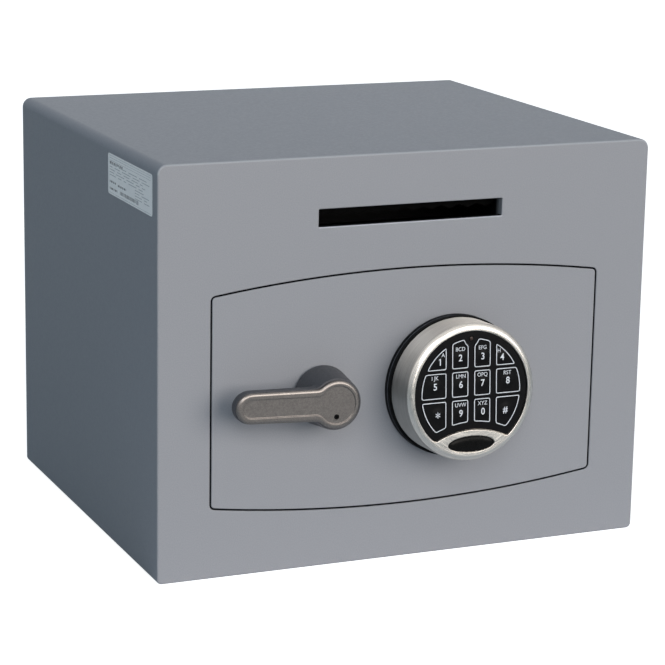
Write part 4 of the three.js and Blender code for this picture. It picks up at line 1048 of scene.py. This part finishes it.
def make_keypad_housing():
    """The brushed housing: a round can with a rolled rim, a sunken face and a crescent below it."""
    form = Form()

    def tilted(outline, depth):
        return form.loop([face_matrix @ Vector((x, depth, z)) for x, z in outline])

    def square(outline, depth):
        drop = keypad_drop(depth)
        return form.loop([keypad_matrix @ Vector((x, depth, z - drop)) for x, z in outline])

    back = -RING_RIM
    rings = [square(circle(0, 0, KEYPAD_RADIUS, KEYPAD_STEPS), back)]
    for inset, depth in reversed(edge_profile(-BEZEL_RISE, BEZEL_ROUND, BEZEL_ROUND, BEZEL_STEPS)):
        rings.append(tilted(circle(0, 0, KEYPAD_RADIUS - inset, KEYPAD_STEPS), depth))
    # The side takes the darker copy of the nickel: painted shade and painted highlight streaks.
    form.skin(rings[:BRUSHED_STEPS], 1)
    form.skin(rings[BRUSHED_STEPS - 1:])

    recess = [tilted(face_outline(FACE_CLEARANCE + inset), depth)
              for inset, depth in edge_profile(-BEZEL_RISE, 0, RECESS_ROUND)]
    seat = FACE_PLATE + SEAT_GAP
    for grow, depth in ((FACE_CLEARANCE, seat), (-FACE_LIP, seat), (-FACE_LIP, KEYPAD_FRONT_WALL)):
        recess.append(tilted(face_outline(grow), depth))
    form.skin(recess)
    pocket = [tilted(badge_outline(SEAT_GAP + inset), depth)
              for inset, depth in edge_profile(-BEZEL_RISE, 0, POCKET_ROUND)]
    pocket.append(tilted(badge_outline(SEAT_GAP), BADGE_RECESS + BADGE_SHEET + SEAT_GAP - BEZEL_RISE))
    form.skin(pocket)
    form.fill(pocket[-1])
    form.fill(rings[-1], recess[0], pocket[0])

    narrow = circle(0, 0, KEYPAD_RADIUS - KEYPAD_WALL, KEYPAD_STEPS)
    cavity = [tilted(narrow, KEYPAD_FRONT_WALL), square(narrow, back)]
    form.fill(cavity[0], recess[-1])
    form.band(*cavity)
    form.band(cavity[1], rings[0])
    build("keypad_bezel", form, ["keypad_housing"], brushed_and_streaked, side_nickel_shaded)


def front_outline(node):
    """The line round a CAD piece's front, in the coordinates of the keypad's face."""
    shape = bmesh.new()
    shape.from_mesh(frame["nodes"][node].data)
    shape.transform(face_matrix.inverted())
    bmesh.ops.remove_doubles(shape, verts=shape.verts, dist=10 * WELD)
    front = min(v.co.y for v in shape.verts)
    faces = [f for f in shape.faces if all(v.co.y < front + FRONT_FLATNESS for v in f.verts)]
    following = {}
    for face in faces:
        for loop in face.loops:
            if not any(other in faces for other in loop.edge.link_faces if other is not face):
                following[loop.vert] = loop.link_loop_next.vert
    start = next(iter(following))
    line = [start]
    while following[line[-1]] is not start:
        line.append(following[line[-1]])
    points = [(v.co.x, v.co.z) for v in line]
    shape.free()
    return points


def key_outline(node):
    return softened(front_outline(node))


def stroke(form, edge, z, height, top, finish):
    """The short slanting stroke at the head of a figure one, left of its bar's edge."""
    reach = edge - FLAG_LENGTH * height
    outline = [(x, z + share * height) for x, share in zip((edge, edge, reach, reach), FLAG_HEIGHTS)]
    form.slab(form.flat(outline, top), form.flat(outline, top + LEGEND_SINK), finish)


def legend(form, text, height, x, z, surface, finish):
    """Adds printed characters to a key, with their middle at a place, just proud of its surface."""
    curve = bpy.data.curves.new("legend", "FONT")
    curve.body = text
    curve.size = 1
    curve.offset = BOLDNESS[height]
    curve.extrude = 0.5
    holder = bpy.data.objects.new("legend", curve)
    bpy.context.scene.collection.objects.link(holder)
    bpy.context.view_layer.update()
    drawn = bpy.data.meshes.new_from_object(holder.evaluated_get(bpy.context.evaluated_depsgraph_get()))
    low = Vector(min(v.co[i] for v in drawn.vertices) for i in range(2))
    high = Vector(max(v.co[i] for v in drawn.vertices) for i in range(2))
    if height != STAR_HEIGHT:
        low.y, high.y = 0, CAPITAL_HEIGHT
    middle = (low + high) / 2
    scale = height / (high.y - low.y)
    stretch = LETTER_STRETCH if height == LETTER_HEIGHT else DIGIT_STRETCH
    top = min(surface(x, z), surface(x, z - height / 2), surface(x, z + height / 2)) - LEGEND_RISE
    start = form.loop([
        (x + (v.co.x - middle.x) * scale * stretch,
         top if v.co.z > 0 else top + LEGEND_SINK,
         z + (v.co.y - middle.y) * scale)
        for v in drawn.vertices
    ])[0]
    for polygon in drawn.polygons:
        form.face([start + i for i in polygon.vertices], finish)
    if text == "1":
        stroke(form, x + (low.x - middle.x) * scale * stretch, z, height, top, finish)
    bpy.data.objects.remove(holder)
    bpy.data.curves.remove(curve)
    bpy.data.meshes.remove(drawn)


# Each key's characters and where their middles lie on the face, in millimetres from its middle
KEY_LEGENDS = {
    "key_1": (("1", -22.6, 21.9), ("A", -20.5, 26.4)),
    "key_2": (("2", -8.0, 23.6), ("BCD", -8.0, 29.4)),
    "key_3": (("3", 8.2, 23.6), ("EFG", 8.1, 29.4)),
    "key_4": (("4", 22.4, 21.9), ("H", 20.1, 26.3)),
    "key_5": (("5", -26.2, 5.7), ("I JK", -26.2, 11.4)),
    "key_6": (("6", -7.6, 5.8), ("LMN", -7.6, 11.3)),
    "key_7": (("7", 8.3, 5.7), ("OPQ", 8.1, 11.3)),
    "key_8": (("8", 26.7, 5.9), ("RST", 26.4, 11.1)),
    "key_star": (("*", -24.2, -13.4),),
    "key_9": (("9", -7.5, -13.5), ("UVW", -7.6, -7.9)),
    "key_0": (("0", 8.6, -13.5), ("XYZ", 8.3, -7.9)),
    "key_hash": (("#", 25.0, -13.8),),
}


def make_key(node, legends):
    """A key with a pale raised line round its rim, a soft dome and its characters."""
    form = Form(face_matrix)
    rim = key_outline(node)
    front = -KEY_STANDOUT
    dome_x, dome_z = (place * MM for place in legends[0][1:])

    def surface(x, z):
        away = hypot(x - dome_x, z - dome_z) / DOME_RADIUS
        return front - (DOME_RISE * (1 - away ** 2) ** 2 if away < 1 else 0)

    sides = form.rims(lambda inset: inset_line(rim, inset), [
        (0, front + KEY_LENGTH), *reversed(edge_profile(front, 0, KEY_EDGE_ROUND))])
    form.skin(sides)
    form.fill(sides[0])
    near = inset_line(rim, OUTLINE_INSET)
    far = inset_line(rim, OUTLINE_INSET + OUTLINE_WIDTH)
    raised = front - OUTLINE_RISE
    line = [sides[-1], form.flat(near, raised), form.flat(far, raised), form.flat(far, front)]
    form.skin(line, 1)
    middle = (sum(x for x, _ in far) / len(far), sum(z for _, z in far) / len(far))
    rings = [line[-1]]
    for ring in range(1, DOME_RINGS):
        share = 1 - ring / DOME_RINGS
        outline = [(middle[0] + share * (x - middle[0]), middle[1] + share * (z - middle[1]))
                   for x, z in far]
        rings.append(form.loop([(x, surface(x, z), z) for x, z in outline]))
    form.skin(rings)
    form.fill(rings[-1])
    for (text, x, z), height in zip(legends, (DIGIT_HEIGHT, LETTER_HEIGHT)):
        legend(form, text, STAR_HEIGHT if text == "*" else height, x * MM, z * MM, surface, 1)
    build(f"{node}_cap", form, [node], key_black, print_white)


def make_keypad_face():
    """The black face plate, with a window for each key and one for the lamp."""
    form = Form(face_matrix)
    rings = form.rims(lambda inset: face_outline(-inset), edge_profile(0, FACE_PLATE, FACE_EDGE_ROUND))
    rings.append(form.flat(face_outline(0), FACE_PLATE))
    windows = [inset_line(key_outline(node), -KEY_WINDOW_GAP) for node in KEY_LEGENDS]
    windows.append(circle(0, LAMP_ABOVE, LAMP_RADIUS + SEAT_GAP, SMALL_STEPS))
    front_holes, back_holes = form.bores(windows, 0, FACE_PLATE)
    form.shell(rings, front_holes, back_holes)
    build("keypad_front", form, ["keypad_faceplate"], black)


def make_badge():
    """The bare oval badge, with a fine sunken line round its slightly crowned face."""
    form = Form(face_matrix)
    front = BADGE_RECESS - BEZEL_RISE
    back = front + BADGE_SHEET
    profile = [(0, back), *reversed(edge_profile(front, back, BADGE_EDGE_ROUND))]
    profile += [((1 - share) * BADGE_HALF_HEIGHT, front - rise * MM) for share, rise in BADGE_CROWN]
    form.shell(form.rims(lambda inset: badge_outline(-inset), profile))
    build("keypad_oval_badge", form, ["keypad_badge"], gloss_black)


def make_turned(name, node, axis, shape, soft, finish, from_high=False):
    """Turns the points of shape(length, radius), softened, about the middle line of a CAD piece's box."""
    middle, low, high = middle_of(node)
    side = "XYZ".index(axis)
    size = high - low
    middle[side] = high[side] if from_high else low[side]
    points = shape(size[side], (size.z if axis == "X" else size.x) / 2)
    profile = [(0, points[0][1]), *eased(points, soft), (0, points[-1][1])]
    if from_high:
        profile = [(radius, -along) for radius, along in profile]
    form = Form()
    form.turned(profile, axis, middle)
    build(name, form, [node], finish)


def make_lamp():
    """The status lamp: a small lens with a domed end."""
    turns = [pi / 2 * i / LAMP_DOME_STEPS for i in range(LAMP_DOME_STEPS + 1)]
    dome = [(LAMP_RADIUS * cos(turn), -LAMP_DOME * (1 + sin(turn))) for turn in turns]
    form = Form(face_matrix)
    form.turned([(0, LAMP_LENGTH), (LAMP_RADIUS, LAMP_LENGTH), *dome], "Y", (0, 0, LAMP_ABOVE), SMALL_STEPS)
    build("keypad_lamp_lens", form, ["keypad_lamp"], lamp_red)


def middle_of(node):
    low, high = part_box(node)
    return (low + high) / 2, low, high


def plug_shape(length, flange):
    stem = PLUG_HOLE_RADIUS - SEAT_GAP
    step = length - PLUG_FLANGE
    return [
        (stem - PLUG_RIM - PLUG_SLOPE, PLUG_SINK), (stem - PLUG_RIM, 0), (stem, 0), (stem, step),
        (flange, step), (flange, length - PLUG_SINK), (flange - PLUG_DOME, length)]


def make_plugs():
    """Moulded caps that close the anchor holes: a stem in the hole and a domed flange inside."""
    for side in ("left", "right"):
        for wall, axis in (("floor", "Z"), ("back", "Y")):
            make_turned(f"{wall}_plug_{side}", f"anchor_plug_{wall}_{side}", axis, plug_shape,
                        PLUG_EASE, rubber, wall == "back")


def pin_shape(length, head):
    """A hinge pin with a flat head above."""
    step = length - PIN_HEAD
    return [(PIN_RADIUS / 2, 0), (PIN_RADIUS, 0), (PIN_RADIUS, step), (head, step), (head, length),
            (head / 2, length)]


def bolt_shape(length, radius):
    """A round bolt with a chamfered nose, and a thinner end in the carriage."""
    step = length - BOLT_SPIGOT
    return [(0.4 * radius, 0), (radius - BOLT_NOSE, 0), (radius, BOLT_NOSE), (radius, step),
            (BOLT_SPIGOT_RADIUS, step), (BOLT_SPIGOT_RADIUS, length), (BOLT_SPIGOT_RADIUS / 2, length)]


def stud_shape(length, collar):
    """A stud with a neck between its collar and its head, where the carriage slides."""
    slit = length - STUD_HEAD
    return [(STUD_NECK, 0), (collar, 0), (collar, STUD_COLLAR), (STUD_NECK, STUD_COLLAR),
            (STUD_NECK, slit), (collar, slit), (collar, length), (0.4 * collar, length)]


def make_turned_steel():
    """The hinge pins, the locking bolts and the guide studs."""
    for axis, shape, soft, nodes in (
        ("Z", pin_shape, 0.5 * MM, ("hinge_pin_lower", "hinge_pin_upper")),
        ("X", bolt_shape, 0.4 * MM, ("locking_bolt_lower", "locking_bolt_upper")),
        ("Y", stud_shape, 0.3 * MM, ("guide_stud_1", "guide_stud_2")),
    ):
        for node in nodes:
            make_turned(f"{node}_turned", node, axis, shape, soft, ground)


def make_cover_screws():
    """Pan-head screws with a cross recess."""
    for node in COVER_SCREWS:
        middle, low, high = middle_of(node)
        head = (high.x - low.x) / 2
        top = high.y
        seat = top - PAN_HEIGHT
        profile = eased([
            (SHANK_RADIUS, low.y), (SHANK_RADIUS, seat), (head, seat), (head, seat + PAN_WALL),
            (0.55 * head, top)], PAN_EASE)
        arm = 0.36 * head
        half = 0.11 * head
        cross = [(arm, -half), (arm, half), (half, half)]
        for _ in range(3):
            cross += [(-z, x) for x, z in cross[-3:]]
        form = Form(Matrix.Translation((middle.x, 0, middle.z)))
        rings = form.discs(0, 0, profile)
        mouth = form.flat(cross, top)
        floor = form.flat([(CROSS_TAPER * x, CROSS_TAPER * z) for x, z in cross], top - CROSS_DEPTH)
        form.band(mouth, floor)
        form.fill(floor)
        form.shell(rings, (), [mouth])
        build(f"{node}_pan_head", form, [node], zinc)


def make_mat():
    """Needle felt with soft cut edges, clear of the anchor holes."""
    low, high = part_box("floor_mat")
    form = Form()
    rings = []
    for inset, z in (
        (0, low.z), (0, high.z - MAT_SOFT), (0.2 * MAT_SOFT, high.z - 0.4 * MAT_SOFT), (MAT_SOFT, high.z),
    ):
        rings.append(form.level(
            rounded_rectangle(low.x, high.x, low.y, high.y, inset, MAT_CORNER), z))
    low_holes, high_holes = form.bores(anchor_rims("floor", MAT_HOLE_RADIUS), low.z, high.z, form.level)
    form.shell(rings, low_holes, high_holes)
    build("felt_mat", form, ["floor_mat"], mat_felt)


# The label's print: starts, ends and middles are shares of its length and height
LABEL_CORNER = 2 * MM
LABEL_PRINT = 0.02 * MM
LABEL_EDGE = 0.05 * MM
RULE_ENDS = (0.03, 0.97)
RULE_MIDDLES = (0.955, 0.90, 0.84, 0.045)
RULE_THICKNESS = 0.22 * MM
ROWS = 9
LONG_ROWS = 5
ROW_STARTS = (0.04, 0.62)
ROW_ENDS = (0.82, 0.95)
ROW_THICKNESS = 0.5 * MM
ROW_WORD = 0.2
HEADINGS = (  # start, end, middle, and thickness in millimetres
    (0.04, 0.34, 0.79, 1.5), (0.04, 0.19, 0.32, 1.3), (0.23, 0.42, 0.30, 1.3), (0.04, 0.22, 0.15, 1.3))
HEADING_WORD = 0.05
SHORTEST_WORD = 0.3
WORD_GAP = 0.25
STRIPES = 22
STRIPE_ENDS = (0.28, 0.64)
STRIPE_WIDTHS = (0.007, 0.013)
STRIPE_HEIGHT = 2.3 * MM


def make_label():
    """A film label with ruled lines, grey bars in place of words, and a pattern of stripes."""
    low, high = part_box("side_label")
    length = high.y - low.y
    height = high.z - low.z
    form = Form()
    face = low.x + LABEL_PRINT
    rings = []
    for inset, x in ((0, high.x), (0, face + LABEL_EDGE), (LABEL_EDGE, face)):
        outline = rounded_rectangle(low.y, high.y, low.z, high.z, inset, LABEL_CORNER)
        rings.append(form.loop([(x, y, z) for y, z in outline]))
    form.shell(rings)

    def bar(start, end, middle, thickness, finish):
        """A printed bar: its places are counted from the label's left and bottom."""
        y0, y1 = high.y - start * length, high.y - end * length
        z0 = low.z + middle * height - thickness / 2
        z1 = z0 + thickness
        top, base = (form.loop([(x, y0, z0), (x, y1, z0), (x, y1, z1), (x, y0, z1)])
                     for x in (low.x, face))
        form.slab(top, base, finish)

    def words(start, end, middle, thickness, longest, finish):
        at = start
        while at < end:
            word = draw.uniform(SHORTEST_WORD, 1) * longest
            bar(at, min(at + word, end), middle, thickness, finish)
            at += word + WORD_GAP * longest

    dark, fine = 1, 2
    draw = random.Random(5)
    for middle in RULE_MIDDLES:
        bar(*RULE_ENDS, middle, RULE_THICKNESS, fine)
    for row in range(ROWS):
        middle = 0.75 - 0.6 * row / ROWS
        start = ROW_STARTS[row >= LONG_ROWS]
        words(start, draw.uniform(*ROW_ENDS), middle, ROW_THICKNESS, ROW_WORD, fine)
    for start, end, middle, thickness in HEADINGS:
        words(start, end, middle, thickness * MM, HEADING_WORD, dark)
    for stripe in range(STRIPES):
        start = STRIPE_ENDS[0] + (STRIPE_ENDS[1] - STRIPE_ENDS[0]) * stripe / STRIPES
        bar(start, start + draw.uniform(*STRIPE_WIDTHS), 0.15, STRIPE_HEIGHT, dark)
    bar(0.65, 0.70, 0.145, 2.7 * MM, fine)
    build("film_label", form, ["side_label"], paper, ink, fine_ink)


# Copies of CAD pieces: piece, CAD node, finish, and how far its edges are broken, in millimetres
DRESSED = (
    # The stop frame and the baffle take the near-black painted shade, and the chute the paint that fades into
    # painted shade.
    ("stop_frame_painted", "door_stop_frame", slot_shade_paint, 0.5),
    ("chute_folded", "deposit_chute", chute_shade_paint, 0.3),
    ("baffle_folded", "deposit_baffle", slot_shade_paint, 0.3),
    ("comb_strip", "anti_fishing_comb", comb_black_and_shade, 0.25),
    ("hinge_bracket_lower_painted", "hinge_bracket_lower", paint, 0.4),
    ("hinge_bracket_upper_painted", "hinge_bracket_upper", paint, 0.4),
    ("hinge_arm_lower_plated", "hinge_arm_lower", zinc, 0.6),
    ("hinge_arm_upper_plated", "hinge_arm_upper", zinc, 0.6),
    ("cover_folded", "door_cover", paint, 1.2),
    ("guide_folded", "bolt_guide", zinc, 0.5),
    ("carriage_plate", "bolt_carriage", zinc, 0.4),
    ("bush_turned", "spindle_bush", brass, 0.3),
    ("crank_plate", "drive_crank", zinc, 0.5),
    ("spindle_bar", "handle_spindle", ground, 0.5),
    ("lock_case_pressed", "lock_case", zinc, 0.6),
    ("lock_bolt_ground", "lock_bolt", ground, 0.4),
    ("solenoid_coil", "lock_solenoid", brass, 0.4),
    ("lock_lead", "lock_cable", rubber, 0.0),
    ("circuit_board", "keypad_circuit_board", board_green, 0.1),
    ("battery_block", "keypad_battery", battery_wrap, 1.2),
)


def make_floor():
    """A plain floor, with a paler strip before the safe that lights the front from below."""
    bpy.ops.mesh.primitive_plane_add(size=FLOOR_SIZE)
    floor = bpy.context.object
    floor.name = "floor"
    material = bpy.data.materials.new("pale_floor")
    graph = Graph(material)
    graph.nodes.clear()
    place = graph.add("ShaderNodeTexCoord")["Object"]
    depth = graph.add("ShaderNodeSeparateXYZ", {0: place})["Y"]
    nearness = graph.add("ShaderNodeMapRange", {
        "Value": depth, "From Min": FRONT - FLOOR_STRIP, "From Max": FRONT + FLOOR_STRIP})[0]
    shade = graph.ramp(
        nearness, (0, FLOOR_ALBEDO), (0.5, FLOOR_NEAR_ALBEDO), (0.5 + FLOOR_FADE, FLOOR_ALBEDO))
    matte = graph.add("ShaderNodeBsdfDiffuse", {"Color": shade})[0]
    strength = seen_by_eye(graph, FLOOR_GLOW, FLOOR_MIRRORED_GLOW)
    glow = graph.add("ShaderNodeEmission", {"Strength": strength})[0]
    both = graph.add("ShaderNodeAddShader", {0: matte, 1: glow})[0]
    graph.add("ShaderNodeOutputMaterial", {"Surface": both})
    floor.data.materials.append(material)


def make_world():
    """An even world, white to the camera and overhead in reflections."""
    world = bpy.data.worlds.new("even_world")
    bpy.context.scene.world = world
    graph = Graph(world)
    white = seen_by_eye(graph, 1, rising_level(graph))
    mix = graph.add("ShaderNodeMix", {"Factor": white, "A": WORLD_COLOR, "B": WHITE}, data_type="RGBA")
    graph.feed(graph.nodes["Background"].inputs["Color"], mix["Result"])


def rising_level(graph):
    """The world's level in reflections: full overhead, and lower towards the horizon."""
    place = graph.add("ShaderNodeTexCoord")["Generated"]
    height = graph.add("ShaderNodeSeparateXYZ", {0: place})["Z"]
    return graph.add("ShaderNodeMapRange", {
        "Value": height, "From Max": HORIZON_HEIGHT, "To Min": HORIZON_MIRRORED})[0]


def seen_by_eye(graph, seen, mirrored):
    """A level for rays of the camera, one for reflections and rays through glass, and 0 for the rest."""
    path = graph.add("ShaderNodeLightPath")
    total = None
    for ray, level in (
        ("Is Camera Ray", seen), ("Is Glossy Ray", mirrored), ("Is Transmission Ray", mirrored),
    ):
        scaled = graph.add("ShaderNodeMath", {0: path[ray], 1: level}, operation="MULTIPLY")[0]
        if total:
            scaled = graph.add("ShaderNodeMath", {0: total, 1: scaled}, operation="MAXIMUM")[0]
        total = scaled
    return total


def make_lights():
    """A low warm sun from the front right, a weak one for the rims, and a fill from behind."""
    for name, direction, color, strength, angle, in_gloss in LIGHTS:
        data = bpy.data.lights.new(name, "SUN")
        data.energy = strength
        data.angle = radians(angle)
        data.color = color
        lamp = bpy.data.objects.new(name, data)
        bpy.context.scene.collection.objects.link(lamp)
        lamp.matrix_world = Vector(direction).to_track_quat("Z", "Y").to_matrix().to_4x4()
        lamp.visible_glossy = in_gloss


def make_camera():
    data = bpy.data.cameras.new("camera")
    data.sensor_width = CAMERA_SENSOR_MM
    data.lens = CAMERA_LENS_MM
    camera = bpy.data.objects.new("camera", data)
    bpy.context.scene.collection.objects.link(camera)
    camera.matrix_world = (
        Matrix.Translation(CAMERA_PLACE)
        @ Matrix.Rotation(-radians(CAMERA_HEADING_DEGREES), 4, "Z")
        @ Matrix.Rotation(radians(90 - CAMERA_DROP_DEGREES), 4, "X")
        @ Matrix.Rotation(radians(CAMERA_ROLL_DEGREES), 4, "Z"))
    bpy.context.scene.camera = camera


make_camera()
make_lights()
make_floor()
make_world()
make_case()
make_door()
make_handle_body()
make_handle_face()
make_face_screw()
make_keypad_ring()
make_keypad_housing()
make_keypad_face()
for node, legends in KEY_LEGENDS.items():
    make_key(node, legends)
make_badge()
make_lamp()
make_plugs()
make_turned_steel()
make_cover_screws()
make_mat()
make_label()
for name, node, finish, edge in DRESSED:
    dress(name, node, finish, edge * MM)

bpy.context.scene.view_settings.view_transform = "Standard"
